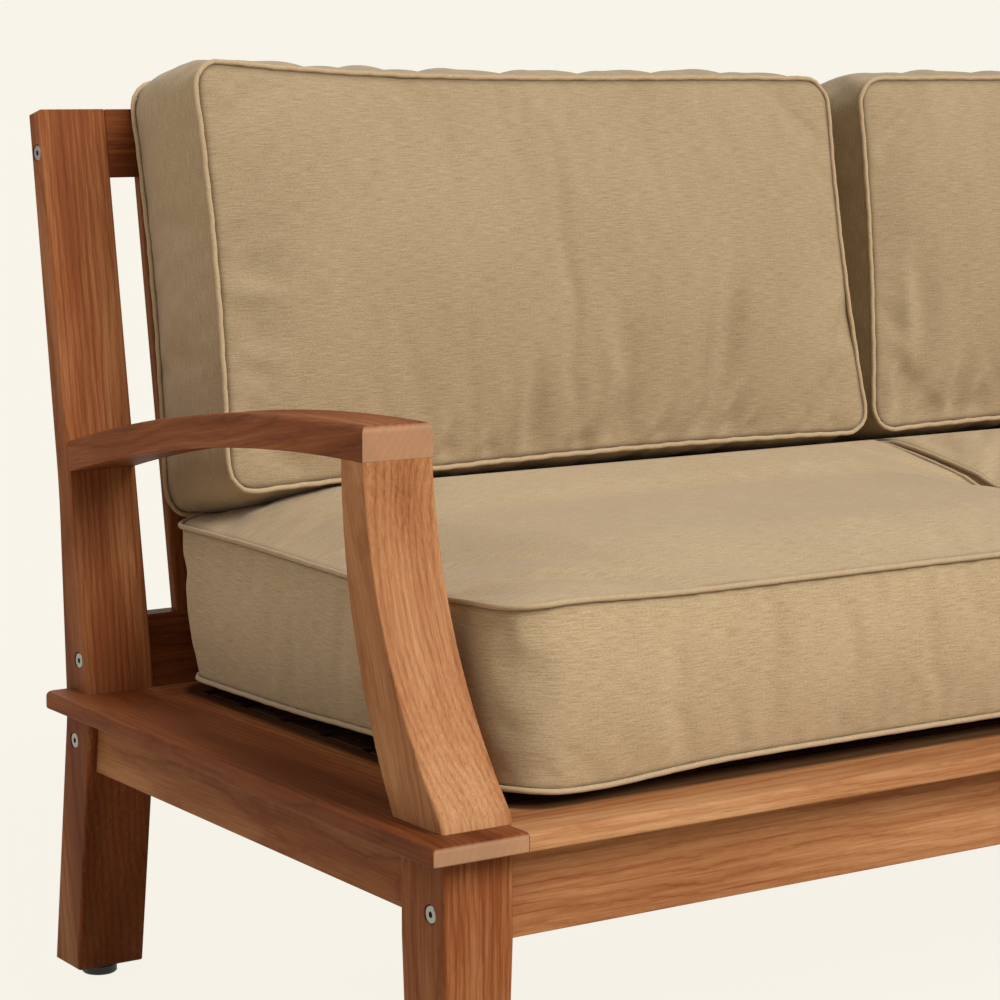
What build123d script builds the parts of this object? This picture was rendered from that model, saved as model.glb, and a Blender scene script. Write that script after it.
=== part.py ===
from build123d import *
import math
import os

os.makedirs("parts", exist_ok=True)

# Hardwood loveseat with loose cushions, in millimetres, +Z up, the front facing -Y.
# The origin is on the floor, under the middle of the frame.
# Depths are measured back from the nosing of the front deck board.

# Overall sizes
WIDTH = 1800.0
DEPTH = 762.0
BACK_HEIGHT = 840.0
DECK_HEIGHT = 291.0
ARM_HEIGHT = 597.0

# Gaps and fits
GLUE_GAP = 0.15
HOLE_GAP = 0.2
SOFT_GAP = 0.3
OVERRUN = 10.0

# Deck boards
DECK_THICKNESS = 16.0
DECK_BOARD_WIDTH = 88.0
SIDE_DECK_WIDTH = 126.0
DECK_LENGTH = 700.0
DECK_OVERHANG = 27.0
DECK_TOP_ROUND = 4.5
DECK_BOTTOM_ROUND = 2.0
DECK_END_ROUND = 11.0
DECK_JOINT_GAP = 0.4

# Levelling feet
FOOT_HEIGHT = 12.0
FOOT_DIAMETER = 34.0
FOOT_EDGE = 2.5
FOOT_NECK_DIAMETER = 18.0
FOOT_NECK_HEIGHT = 2.0
STEM_DIAMETER = 8.0
STEM_LENGTH = 42.0
STEM_GRIP = 6.0
INSERT_DIAMETER = 12.0
INSERT_LENGTH = 22.0
RUNNING_GAP = 0.08

# Front legs
LEG_SIDE = 65.0
LEG_FOOT_SIDE = 57.0
EDGE_ROUND = 3.0

# Rear posts, one bent plank each
POST_WIDTH = 70.0
POST_SETBACK = 652.0
POST_KNEE_HEIGHT = 270.0
POST_KNEE_ROUND = 200.0
POST_FOOT_THICKNESS = 51.0
POST_FOOT_KICK = 39.0
POST_KNEE_THICKNESS = 53.0
POST_WAIST_HEIGHT = 480.0
POST_WAIST_THICKNESS = 28.6
POST_WAIST_ROUND = 600.0
POST_TOP_THICKNESS = 22.0
POST_TOP_DROP = 5.0

# Aprons
APRON_THICKNESS = 24.0
APRON_INSET = 9.0
FRONT_APRON_HEIGHT = 78.0
SIDE_APRON_HEIGHT = 60.0
TENON_THICKNESS = 10.0
TENON_SHOULDER = 10.0
FRONT_TENON_LENGTH = 28.0
REAR_TENON_LENGTH = 26.0

# Armrests and their supports
ARM_WIDTH = 66.0
ARM_THICKNESS = 29.0
ARM_SETBACK = 146.0
ARM_REAR_HEIGHT = 530.0
ARM_TOP_ROUND = 6.5
ARM_BOW = 17.0
SUPPORT_FOOT_SETBACK = 29.5
SUPPORT_FOOT_DEPTH = 74.5
SUPPORT_FOOT_RISE = 10.0
SUPPORT_FOOT_SLANT = 3.5
SUPPORT_FOOT_ROUND = 40.0
SUPPORT_TOP_DEPTH = 35.0
SUPPORT_FRONT_BOW = 24.0
SUPPORT_REAR_BOW = 19.0
SUPPORT_EDGE_ROUND = 2.0

# Back frame
TOP_RAIL_HEIGHT = 65.0
TOP_RAIL_THICKNESS = 20.0
TOP_RAIL_RECESS = 1.0
BOTTOM_RAIL_HEIGHT = 68.0
BOTTOM_RAIL_THICKNESS = 24.0
BOTTOM_RAIL_RECESS = 4.0
BOTTOM_RAIL_STEP_HEIGHT = 18.0
BOTTOM_RAIL_STEP = 2.5
BACK_SLAT_COUNT = 18
BACK_SLAT_WIDTH = 54.0
BACK_SLAT_THICKNESS = 11.0
BACK_SLAT_RECESS = 8.0
BACK_SLAT_TENON = 14.0
BACK_SLAT_ROUND = 2.0

# Seat frame
SEAT_SLAT_COUNT = 7
SEAT_SLAT_WIDTH = 60.0
SEAT_SLAT_END_GAP = 2.0
CLEAT_WIDTH = 92.0
CLEAT_HEIGHT = 25.0
BEAM_THICKNESS = 28.0
BEAM_HEIGHT = 60.0
BEAM_TENON_LENGTH = 12.0
BEAM_SPACING_SHARE = 0.25

# Frame bolts, barrel nuts and dowels
BOLT_DIAMETER = 8.0
BOLT_HEAD_DIAMETER = 15.0
BOLT_HEAD_THICKNESS = 2.6
BOLT_SOCKET_SIZE = 5.0
BOLT_SOCKET_DEPTH = 4.0
BOLT_GRIP = 42.0
RECESS_DIAMETER = 17.0
RECESS_DEPTH = 3.2
BARREL_DIAMETER = 12.0
BARREL_LENGTH = 16.0
BARREL_SETBACK = 30.0
DOWEL_DIAMETER = 8.0
DOWEL_REACH = 24.0
FRONT_BOLT_RISE = 27.0
REAR_BOLT_DROP = 34.0
REAR_APRON_BACK = 701.0
BOTTOM_RAIL_BOLT_RISE = 30.0
TOP_RAIL_BOLT_DROP = 41.0
FRAME_DOWEL_OFFSET = 24.0

# Arm dowels
ARM_DOWEL_DIAMETER = 10.0
ARM_DOWEL_SPACING = 30.0
SUPPORT_DOWEL_REACH = 24.0
LEG_DOWEL_SPACING = 26.0
LEG_DOWEL_SETBACK = 8.0
LEG_DOWEL_DEPTH = 18.0
ARM_DOWEL_REACH = 20.0
POST_DOWEL_REACH = 18.0

# Slat screws
SCREW_DIAMETER = 4.0
SCREW_HEAD_DIAMETER = 8.0
SCREW_HEAD_HEIGHT = 2.5
SCREW_LENGTH = 35.0
SCREW_TIP = 4.0
SCREW_SINK = 0.6

# Seat cushions
SEAT_CUSHION_FRONT = 55.0
SEAT_CUSHION_BACK = 650.0
SEAT_CUSHION_SIDE = 110.0
SEAT_SEAM_RISE = 17.0
SEAT_BOXING_HEIGHT = 142.0
SEAT_CROWN = 39.0
SEAT_BELLY = 20.0
SEAT_SPLIT_GAP = 4.8
SEAT_DRAW_IN = 6.0
SEAT_CORNER_ROUND = 24.0

# Back cushions
BACK_CUSHION_SIDE = 120.0
BACK_SPLIT_GAP = 6.0
BACK_CUSHION_RISE = 19.0
BACK_CUSHION_HEIGHT = 392.0
BACK_CUSHION_THICKNESS = 132.0
BACK_REAR_SEAM = 4.0
BACK_CROWN = 20.0
BACK_BELLY = 6.0
BACK_DRAW_IN = 7.0
BACK_CORNER_ROUND = 24.0

# Cushion covers, fillings and zips
COVER_THICKNESS = 2.0
FILLING_GAP = 0.3
WELT_PROUD = 2.0
WELT_HEIGHT = 5.0
WELT_ROUND = 1.2
CENTRE_SHARE = 0.5
SHOULDER_SHARE = 0.7
EVEN_CROWN_SHARES = (0.9, 1.0, 0.9)
REARWARD_CROWN_SHARES = (0.36, 0.7, 1.0)
CROWN_STATION_SHARES = (0.0, 0.16, 0.5, 0.84, 1.0)
EVEN_HEIGHT_SHARES = (0.12, 0.72, 1.0, 0.72, 0.12)
INWARD_HEIGHT_SHARES = (0.1, 0.62, 1.0, 0.94, 0.62)
ZIP_HEIGHT = 8.0
ZIP_THICKNESS = 1.2
ZIP_LENGTH_SHARE = 0.6
ZIP_PULL_LENGTH = 22.0
ZIP_PULL_WIDTH = 5.0
ZIP_PULL_THICKNESS = 1.6

# Places that follow from the sizes above
HALF_WIDTH = WIDTH / 2
FRONT = -DEPTH / 2
LEG_OUTSIDE = -HALF_WIDTH + DECK_OVERHANG
POST_INSIDE = LEG_OUTSIDE + POST_WIDTH
LEG_INSIDE = LEG_OUTSIDE + LEG_SIDE
DECK_UNDERSIDE = DECK_HEIGHT - DECK_THICKNESS
DECK_INSIDE = -HALF_WIDTH + DECK_BOARD_WIDTH
SIDE_DECK_INSIDE = -HALF_WIDTH + SIDE_DECK_WIDTH
LEG_FRONT = FRONT + DECK_OVERHANG
LEG_BACK = LEG_FRONT + LEG_SIDE
APRON_OUTSIDE = LEG_OUTSIDE + APRON_INSET
APRON_INSIDE = APRON_OUTSIDE + APRON_THICKNESS
FRONT_APRON_FACE = LEG_FRONT + APRON_INSET
FRONT_APRON_BOTTOM = DECK_UNDERSIDE - FRONT_APRON_HEIGHT
SIDE_APRON_BOTTOM = DECK_UNDERSIDE - SIDE_APRON_HEIGHT
REAR_APRON_REAR = FRONT + REAR_APRON_BACK
REAR_APRON_FACE = REAR_APRON_REAR - APRON_THICKNESS
POST_TOP_FRONT = FRONT + DEPTH - POST_TOP_THICKNESS
KNEE_FRONT = FRONT + POST_SETBACK
LEAN = (POST_TOP_FRONT - KNEE_FRONT) / (BACK_HEIGHT - POST_KNEE_HEIGHT)
LEAN_ANGLE = math.degrees(math.atan(LEAN))
ARM_AXIS = LEG_OUTSIDE + ARM_WIDTH / 2
TOP_RAIL_BOTTOM = BACK_HEIGHT - TOP_RAIL_HEIGHT
BOTTOM_RAIL_TOP = DECK_HEIGHT + BOTTOM_RAIL_HEIGHT
SEAT_BOTTOM_SEAM = DECK_HEIGHT + SEAT_SEAM_RISE
SEAT_TOP_SEAM = SEAT_BOTTOM_SEAM + SEAT_BOXING_HEIGHT
BACK_CUSHION_BOTTOM = SEAT_TOP_SEAM + BACK_CUSHION_RISE


def post_face(height):
    """Depth of the leaning front face of the posts at a height above the knee."""
    return KNEE_FRONT + (height - POST_KNEE_HEIGHT) * LEAN


def block(x_range, y_range, z_range):
    """A square-edged block between three pairs of limits."""
    size = [high - low for low, high in (x_range, y_range, z_range)]
    corner = Pos(x_range[0], y_range[0], z_range[0])
    return corner * Box(*size, align=(Align.MIN, Align.MIN, Align.MIN))


def rod(start, direction, radius, length):
    """A round rod from a point along a direction."""
    plane = Plane(origin=start, z_dir=direction)
    return plane * Cylinder(radius, length, align=(Align.CENTER, Align.CENTER, Align.MIN))


def side_piece(outline, x_start, thickness):
    """A piece cut to a side-view outline of (depth, height) and a thickness across."""
    face = make_face(Plane.YZ * outline)
    return Pos(x_start, 0, 0) * extrude(face, amount=thickness, dir=Vector(1, 0, 0))


def round_side_edges(piece, radius):
    """Round the edges of both side faces of a piece cut from a side view."""
    faces = piece.faces().sort_by(Axis.X)
    return fillet(faces[0].edges() + faces[-1].edges(), radius)


def mirrored(piece):
    """The right-hand copy of a left-hand piece."""
    return mirror(piece, about=Plane.YZ)


def save(piece, name):
    export_step(piece, f"parts/{name}.step")


def save_pair(piece, name):
    save(piece, f"{name}_left")
    save(mirrored(piece), f"{name}_right")


def save_group(pieces, name):
    save(Compound(children=list(pieces)), name)


# Rear posts
def post_outline():
    front_foot = (KNEE_FRONT + POST_FOOT_KICK, FOOT_HEIGHT + SOFT_GAP)
    front_knee = (KNEE_FRONT, POST_KNEE_HEIGHT)
    front_top = (POST_TOP_FRONT, BACK_HEIGHT)
    rear_top = (POST_TOP_FRONT + POST_TOP_THICKNESS, BACK_HEIGHT - POST_TOP_DROP)
    rear_waist = (post_face(POST_WAIST_HEIGHT) + POST_WAIST_THICKNESS, POST_WAIST_HEIGHT)
    rear_knee = (KNEE_FRONT + POST_KNEE_THICKNESS, POST_KNEE_HEIGHT)
    rear_foot = (front_foot[0] + POST_FOOT_THICKNESS, front_foot[1])
    corners = [front_foot, front_knee, front_top, rear_top, rear_waist, rear_knee, rear_foot]
    rounds = [0, POST_KNEE_ROUND, 0, 0, POST_WAIST_ROUND, POST_KNEE_ROUND, 0]
    return FilletPolyline(*corners, radius=rounds, close=True)


POST_BLANK = side_piece(post_outline(), LEG_OUTSIDE, POST_WIDTH)


# Frame bolts: one through each leg or post into the end of each rail
BOLT_PLACES = {
    "front_apron": (FRONT_APRON_FACE + APRON_THICKNESS / 2, FRONT_APRON_BOTTOM + FRONT_BOLT_RISE),
    "rear_apron": (REAR_APRON_REAR - APRON_THICKNESS / 2, DECK_UNDERSIDE - REAR_BOLT_DROP),
    "bottom_rail": (
        post_face(DECK_HEIGHT + BOTTOM_RAIL_BOLT_RISE) + BOTTOM_RAIL_RECESS + BOTTOM_RAIL_THICKNESS / 2,
        DECK_HEIGHT + BOTTOM_RAIL_BOLT_RISE,
    ),
    "top_rail": (
        post_face(BACK_HEIGHT - TOP_RAIL_BOLT_DROP) + TOP_RAIL_RECESS + TOP_RAIL_THICKNESS / 2,
        BACK_HEIGHT - TOP_RAIL_BOLT_DROP,
    ),
}
DOWEL_SIDES = {"front_apron": 1, "rear_apron": -1, "bottom_rail": 1, "top_rail": 1}
RAIL_LEANS = {"front_apron": 0, "rear_apron": 0, "bottom_rail": LEAN, "top_rail": LEAN}
RAIL_ENDS = {
    "front_apron": LEG_INSIDE,
    "rear_apron": POST_INSIDE,
    "bottom_rail": POST_INSIDE,
    "top_rail": POST_INSIDE,
}
ACROSS = (1, 0, 0)
BACKWARD = (0, 1, 0)
UP = (0, 0, 1)


def bolt(rail):
    """A bolt with a wide flat head and a hexagon socket, its head in the recess."""
    y, z = BOLT_PLACES[rail]
    head_x = LEG_OUTSIDE + RECESS_DEPTH - BOLT_HEAD_THICKNESS
    shank_end = RAIL_ENDS[rail] + BOLT_GRIP
    head = rod((head_x, y, z), ACROSS, BOLT_HEAD_DIAMETER / 2, BOLT_HEAD_THICKNESS)
    head = chamfer(head.edges().group_by(Axis.X)[0], BOLT_HEAD_THICKNESS / 4)
    shank_start = head_x + BOLT_HEAD_THICKNESS / 2
    shank = rod((shank_start, y, z), ACROSS, BOLT_DIAMETER / 2, shank_end - shank_start)
    socket_plane = Plane(origin=(head_x, y, z), z_dir=ACROSS)
    hexagon = socket_plane * RegularPolygon(BOLT_SOCKET_SIZE / 2, 6, major_radius=False)
    socket = extrude(hexagon, amount=BOLT_SOCKET_DEPTH, dir=Vector(*ACROSS))
    return head + shank - socket


def bolt_hole(rail):
    """The hole for a bolt, from the outer face to past the bolt's end, with its recess."""
    y, z = BOLT_PLACES[rail]
    start = LEG_OUTSIDE - OVERRUN
    length = RAIL_ENDS[rail] + BOLT_GRIP + OVERRUN / 2 - start
    hole = rod((start, y, z), ACROSS, BOLT_DIAMETER / 2 + HOLE_GAP, length)
    recess = rod((start, y, z), ACROSS, RECESS_DIAMETER / 2, RECESS_DEPTH + OVERRUN)
    return hole + recess


def barrel_nut(rail):
    """The cross nut that the bolt screws into, inside the end of the rail."""
    y, z = BOLT_PLACES[rail]
    x = RAIL_ENDS[rail] + BARREL_SETBACK
    nut = rod((x, y - BARREL_LENGTH / 2, z), BACKWARD, BARREL_DIAMETER / 2, BARREL_LENGTH)
    thread = rod((x - BARREL_DIAMETER, y, z), ACROSS, BOLT_DIAMETER / 2 + RUNNING_GAP, BARREL_DIAMETER * 2)
    return nut - thread


def barrel_hole(rail):
    """The blind hole for the cross nut, open at the back of the rail."""
    y, z = BOLT_PLACES[rail]
    x = RAIL_ENDS[rail] + BARREL_SETBACK
    start = y - BARREL_LENGTH / 2 - GLUE_GAP
    return rod((x, start, z), BACKWARD, BARREL_DIAMETER / 2 + GLUE_GAP, BARREL_LENGTH + APRON_THICKNESS)


def frame_dowel(rail, gap=0):
    """The dowel beside a bolt, or with a gap the hole that it is glued into."""
    y, z = BOLT_PLACES[rail]
    offset = FRAME_DOWEL_OFFSET * DOWEL_SIDES[rail]
    y = y + offset * RAIL_LEANS[rail]
    start = RAIL_ENDS[rail] - DOWEL_REACH - gap
    length = (DOWEL_REACH + gap) * 2
    return rod((start, y, z + offset), ACROSS, DOWEL_DIAMETER / 2 + gap, length)


def drilled(piece, rails):
    """A leg, post or rail with the holes for its bolts, cross nuts and dowels."""
    for rail in rails:
        piece = piece - bolt_hole(rail) - barrel_hole(rail) - frame_dowel(rail, GLUE_GAP)
    return piece


def drilled_both_ends(piece, rail):
    holes = bolt_hole(rail) + barrel_hole(rail) + frame_dowel(rail, GLUE_GAP)
    return piece - holes - mirrored(holes)


# Levelling feet: where each one stands under its leg
FRONT_FOOT_DEPTH = LEG_FRONT + LEG_SIDE / 2
REAR_FOOT_DEPTH = KNEE_FRONT + POST_FOOT_KICK + POST_FOOT_THICKNESS / 2
FRONT_FOOT_SIDE = LEG_OUTSIDE + LEG_SIDE / 2
REAR_FOOT_SIDE = LEG_OUTSIDE + POST_WIDTH / 2
FOOT_PLACES = {
    "front_left": (FRONT_FOOT_SIDE, FRONT_FOOT_DEPTH),
    "front_right": (-FRONT_FOOT_SIDE, FRONT_FOOT_DEPTH),
    "rear_left": (REAR_FOOT_SIDE, REAR_FOOT_DEPTH),
    "rear_right": (-REAR_FOOT_SIDE, REAR_FOOT_DEPTH),
}
LEG_BOTTOM = FOOT_HEIGHT + SOFT_GAP
STEM_BOTTOM = FOOT_HEIGHT - STEM_GRIP


def foot_pad(x, y):
    """A round plastic pad with eased edges and a blind hole for its stem."""
    base_height = FOOT_HEIGHT - FOOT_NECK_HEIGHT
    pad = rod((x, y, 0), UP, FOOT_DIAMETER / 2, base_height)
    pad = fillet(pad.edges().group_by(Axis.Z)[-1], FOOT_EDGE)
    pad = chamfer(pad.edges().group_by(Axis.Z)[0], FOOT_EDGE / 2)
    neck = rod((x, y, base_height / 2), UP, FOOT_NECK_DIAMETER / 2, FOOT_HEIGHT - base_height / 2)
    return pad + neck - rod((x, y, STEM_BOTTOM), UP, STEM_DIAMETER / 2, FOOT_HEIGHT)


def foot_stem(x, y):
    """The threaded stem, moulded into the pad, with a chamfered tip."""
    stem = rod((x, y, STEM_BOTTOM), UP, STEM_DIAMETER / 2, STEM_LENGTH)
    return chamfer(stem.edges().group_by(Axis.Z)[-1], STEM_DIAMETER / 8)


def leg_insert(x, y):
    """The threaded sleeve pressed into the end of the leg."""
    sleeve = rod((x, y, LEG_BOTTOM), UP, INSERT_DIAMETER / 2, INSERT_LENGTH)
    return sleeve - rod((x, y, 0), UP, STEM_DIAMETER / 2 + RUNNING_GAP, STEM_LENGTH + FOOT_HEIGHT)


def foot_hole(x, y):
    """The stepped hole in the end of a leg for the sleeve and the tip of the stem."""
    sleeve = rod((x, y, 0), UP, INSERT_DIAMETER / 2 + GLUE_GAP, LEG_BOTTOM + INSERT_LENGTH + GLUE_GAP)
    tip = rod((x, y, 0), UP, STEM_DIAMETER / 2 + HOLE_GAP, STEM_BOTTOM + STEM_LENGTH + OVERRUN)
    return sleeve + tip


def grown(limits, gap):
    """A pair of limits moved apart by a gap at each end."""
    return (limits[0] - gap, limits[1] + gap)


# Side aprons, tenoned into the legs and posts
APRON_AXIS = (APRON_OUTSIDE + APRON_INSIDE) / 2
TENON_SIDES = (APRON_AXIS - TENON_THICKNESS / 2, APRON_AXIS + TENON_THICKNESS / 2)
TENON_HEIGHTS = (SIDE_APRON_BOTTOM + TENON_SHOULDER, DECK_UNDERSIDE - TENON_SHOULDER)
FRONT_TENON_DEPTHS = (LEG_BACK - FRONT_TENON_LENGTH, LEG_BACK)
REAR_TENON_DEPTHS = (KNEE_FRONT - OVERRUN, KNEE_FRONT + REAR_TENON_LENGTH)


def side_tenon(depths, gap=0):
    """A tenon of the side apron, or with a gap the mortise that it fits."""
    return block(grown(TENON_SIDES, gap), grown(depths, gap), grown(TENON_HEIGHTS, gap))


def side_apron():
    depths = (LEG_BACK, KNEE_FRONT + POST_KNEE_THICKNESS / 2)
    board = block((APRON_OUTSIDE, APRON_INSIDE), depths, (SIDE_APRON_BOTTOM, DECK_UNDERSIDE))
    board = board - POST_BLANK
    return board + side_tenon(FRONT_TENON_DEPTHS) + side_tenon(REAR_TENON_DEPTHS)


# Arm dowels: from the leg up into the support, and at both ends of the armrest
LEG_DOWEL_MIDDLE = FRONT_FOOT_DEPTH + LEG_DOWEL_SETBACK
LEG_DOWEL_DEPTHS = [
    LEG_DOWEL_MIDDLE - LEG_DOWEL_SPACING / 2,
    LEG_DOWEL_MIDDLE + LEG_DOWEL_SPACING / 2,
]
ARM_DOWEL_SIDES = [ARM_AXIS - ARM_DOWEL_SPACING / 2, ARM_AXIS + ARM_DOWEL_SPACING / 2]
SUPPORT_TOP_MIDDLE = FRONT + ARM_SETBACK + SUPPORT_TOP_DEPTH / 2
ARM_UNDERSIDE = ARM_HEIGHT - ARM_THICKNESS
ARM_REAR_MIDDLE = ARM_REAR_HEIGHT - ARM_THICKNESS / 2


def leg_dowels(gap=0):
    bottom = DECK_UNDERSIDE - LEG_DOWEL_DEPTH - gap
    length = DECK_HEIGHT + SUPPORT_DOWEL_REACH + gap - bottom
    radius = ARM_DOWEL_DIAMETER / 2 + gap
    return [rod((ARM_AXIS, depth, bottom), UP, radius, length) for depth in LEG_DOWEL_DEPTHS]


def support_top_dowels(gap=0):
    bottom = ARM_UNDERSIDE - ARM_DOWEL_REACH - gap
    length = (ARM_DOWEL_REACH + gap) * 2
    radius = ARM_DOWEL_DIAMETER / 2 + gap
    return [rod((side, SUPPORT_TOP_MIDDLE, bottom), UP, radius, length) for side in ARM_DOWEL_SIDES]


def post_dowels(gap=0):
    start = post_face(ARM_REAR_MIDDLE) - ARM_DOWEL_REACH - gap
    length = ARM_DOWEL_REACH + POST_DOWEL_REACH + gap * 2
    radius = ARM_DOWEL_DIAMETER / 2 + gap
    return [rod((side, start, ARM_REAR_MIDDLE), BACKWARD, radius, length) for side in ARM_DOWEL_SIDES]


def without(piece, cutters):
    for cutter in cutters:
        piece = piece - cutter
    return piece


# Legs and posts
def front_leg():
    middle = Pos(FRONT_FOOT_SIDE, FRONT_FOOT_DEPTH, 0)
    top = middle * Pos(0, 0, FRONT_APRON_BOTTOM) * RectangleRounded(LEG_SIDE, LEG_SIDE, EDGE_ROUND)
    foot = middle * Pos(0, 0, LEG_BOTTOM) * RectangleRounded(LEG_FOOT_SIDE, LEG_FOOT_SIDE, EDGE_ROUND)
    leg = extrude(top, amount=FRONT_APRON_HEIGHT, dir=Vector(*UP)) + loft([foot, top])
    leg = without(leg, leg_dowels(GLUE_GAP))
    leg = leg - side_tenon(FRONT_TENON_DEPTHS, GLUE_GAP) - foot_hole(FRONT_FOOT_SIDE, FRONT_FOOT_DEPTH)
    return drilled(leg, ["front_apron"])


def rear_post():
    post = round_side_edges(POST_BLANK, EDGE_ROUND)
    post = without(post, post_dowels(GLUE_GAP))
    post = post - side_tenon(REAR_TENON_DEPTHS, GLUE_GAP) - foot_hole(REAR_FOOT_SIDE, REAR_FOOT_DEPTH)
    return drilled(post, ["rear_apron", "bottom_rail", "top_rail"])


# Deck boards
def nosed(board, edges_above, edges_below):
    """Round the outer top edges of a deck board, and ease its outer bottom edges."""
    board = fillet(edges_above(board), DECK_TOP_ROUND)
    return fillet(edges_below(board), DECK_BOTTOM_ROUND)


def level_edges(board, height, is_outer):
    edges = board.edges().filter_by_position(Axis.Z, height, height)
    return edges.filter_by(is_outer)


def side_deck_board():
    heights = (DECK_UNDERSIDE, DECK_HEIGHT)
    rear = FRONT + DECK_LENGTH
    wide = block((-HALF_WIDTH, DECK_INSIDE), (FRONT, KNEE_FRONT + OVERRUN), heights)
    strip = block((-HALF_WIDTH, LEG_OUTSIDE), (FRONT, rear), heights)
    inner_depths = grown((FRONT + DECK_BOARD_WIDTH, rear - DECK_BOARD_WIDTH), -DECK_JOINT_GAP)
    inner = block((-HALF_WIDTH, SIDE_DECK_INSIDE), inner_depths, heights)
    board = wide + strip + inner - POST_BLANK
    rear_corner = board.edges().filter_by(Axis.Z).group_by(Axis.Y)[-1].sort_by(Axis.X)[0]
    board = fillet([rear_corner], DECK_END_ROUND)
    front_corner = board.edges().filter_by(Axis.Z).group_by(Axis.Y)[0].sort_by(Axis.X)[0]
    board = fillet([front_corner], DECK_BOTTOM_ROUND)

    def is_outer(edge):
        middle = edge.center()
        beyond_post = middle.X < LEG_OUTSIDE - DECK_OVERHANG / 4
        at_front = middle.Y < FRONT + DECK_BOTTOM_ROUND
        at_rear = middle.Y > rear - DECK_END_ROUND
        return beyond_post or at_front or at_rear

    board = nosed(
        board,
        lambda piece: level_edges(piece, DECK_HEIGHT, is_outer),
        lambda piece: level_edges(piece, DECK_UNDERSIDE, is_outer),
    )
    return without(board, leg_dowels(GLUE_GAP))


def front_deck_board():
    side = DECK_INSIDE + DECK_JOINT_GAP
    board = block((side, -side), (FRONT, FRONT + DECK_BOARD_WIDTH), (DECK_UNDERSIDE, DECK_HEIGHT))

    def is_outer(edge):
        return edge.center().Y < FRONT + DECK_BOTTOM_ROUND

    return nosed(
        board,
        lambda piece: level_edges(piece, DECK_HEIGHT, is_outer),
        lambda piece: level_edges(piece, DECK_UNDERSIDE, is_outer),
    )


def rear_deck_board():
    side = DECK_INSIDE + DECK_JOINT_GAP
    rear = FRONT + DECK_LENGTH
    board = block((side, -side), (rear - DECK_BOARD_WIDTH, rear), (DECK_UNDERSIDE, DECK_HEIGHT))
    return board - POST_BLANK - mirrored(POST_BLANK)


# Front and rear aprons, with the beams between them
BEAM_SIDES = {
    "left": -WIDTH * BEAM_SPACING_SHARE,
    "centre": 0,
    "right": WIDTH * BEAM_SPACING_SHARE,
}
BEAM_DEPTHS = (FRONT_APRON_FACE + APRON_THICKNESS, REAR_APRON_FACE)


def beam_tenon(side, gap=0):
    """The tenons at both ends of a beam, as one bar, or with a gap the mortises."""
    sides = (side - TENON_THICKNESS / 2, side + TENON_THICKNESS / 2)
    bottom = DECK_UNDERSIDE - BEAM_HEIGHT
    heights = (bottom + TENON_SHOULDER, DECK_UNDERSIDE - TENON_SHOULDER)
    depths = grown(BEAM_DEPTHS, BEAM_TENON_LENGTH)
    return block(grown(sides, gap), grown(depths, gap), grown(heights, gap))


def seat_beam(side):
    sides = (side - BEAM_THICKNESS / 2, side + BEAM_THICKNESS / 2)
    beam = block(sides, BEAM_DEPTHS, (DECK_UNDERSIDE - BEAM_HEIGHT, DECK_UNDERSIDE))
    return without(beam + beam_tenon(side), screw_holes([side]))


def apron(inside, face, rail):
    heights = (FRONT_APRON_BOTTOM, DECK_UNDERSIDE)
    board = block((inside, -inside), (face, face + APRON_THICKNESS), heights)
    board = without(board, [beam_tenon(side, GLUE_GAP) for side in BEAM_SIDES.values()])
    return drilled_both_ends(board, rail)


# Seat slats, their cleats and screws
SLAT_END = SIDE_DECK_INSIDE + SEAT_SLAT_END_GAP
CLEAT_INSIDE = APRON_INSIDE + CLEAT_WIDTH
CLEAT_SCREW_SIDE = (SLAT_END + CLEAT_INSIDE) / 2
SLAT_FIELD_FRONT = FRONT + DECK_BOARD_WIDTH
SLAT_FIELD = DECK_LENGTH - DECK_BOARD_WIDTH * 2
SEAT_SLAT_GAP = (SLAT_FIELD - SEAT_SLAT_COUNT * SEAT_SLAT_WIDTH) / (SEAT_SLAT_COUNT + 1)
SEAT_SLAT_PITCH = SEAT_SLAT_WIDTH + SEAT_SLAT_GAP
SEAT_SLAT_FRONTS = [
    SLAT_FIELD_FRONT + SEAT_SLAT_GAP + SEAT_SLAT_PITCH * index for index in range(SEAT_SLAT_COUNT)
]


def slat_screw(side, depth, gap=0):
    """A countersunk screw down through a slat, or with a gap the hole for it."""
    head_top = DECK_HEIGHT - SCREW_SINK
    bottom = head_top - SCREW_LENGTH - gap
    radius = SCREW_DIAMETER / 2 + gap
    tip_end = (side, depth, bottom)
    tip = Plane(origin=tip_end) * Cone(
        radius / 4, radius, SCREW_TIP, align=(Align.CENTER, Align.CENTER, Align.MIN)
    )
    head_radius = SCREW_HEAD_DIAMETER / 2 + gap
    head_bottom = head_top - SCREW_HEAD_HEIGHT
    shank = rod((side, depth, bottom + SCREW_TIP), UP, radius, head_bottom - bottom - SCREW_TIP)
    head = Plane(origin=(side, depth, head_bottom)) * Cone(
        radius, head_radius, SCREW_HEAD_HEIGHT, align=(Align.CENTER, Align.CENTER, Align.MIN)
    )
    return tip + shank + head


def screw_hole(side, depth):
    above = rod((side, depth, DECK_HEIGHT - SCREW_SINK), UP, SCREW_HEAD_DIAMETER / 2 + HOLE_GAP, OVERRUN)
    return slat_screw(side, depth, HOLE_GAP) + above


SCREW_SIDES = [CLEAT_SCREW_SIDE, *BEAM_SIDES.values(), -CLEAT_SCREW_SIDE]
SCREW_DEPTHS = [front + SEAT_SLAT_WIDTH / 2 for front in SEAT_SLAT_FRONTS]


def screw_holes(sides):
    return [screw_hole(side, depth) for side in sides for depth in SCREW_DEPTHS]


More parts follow.
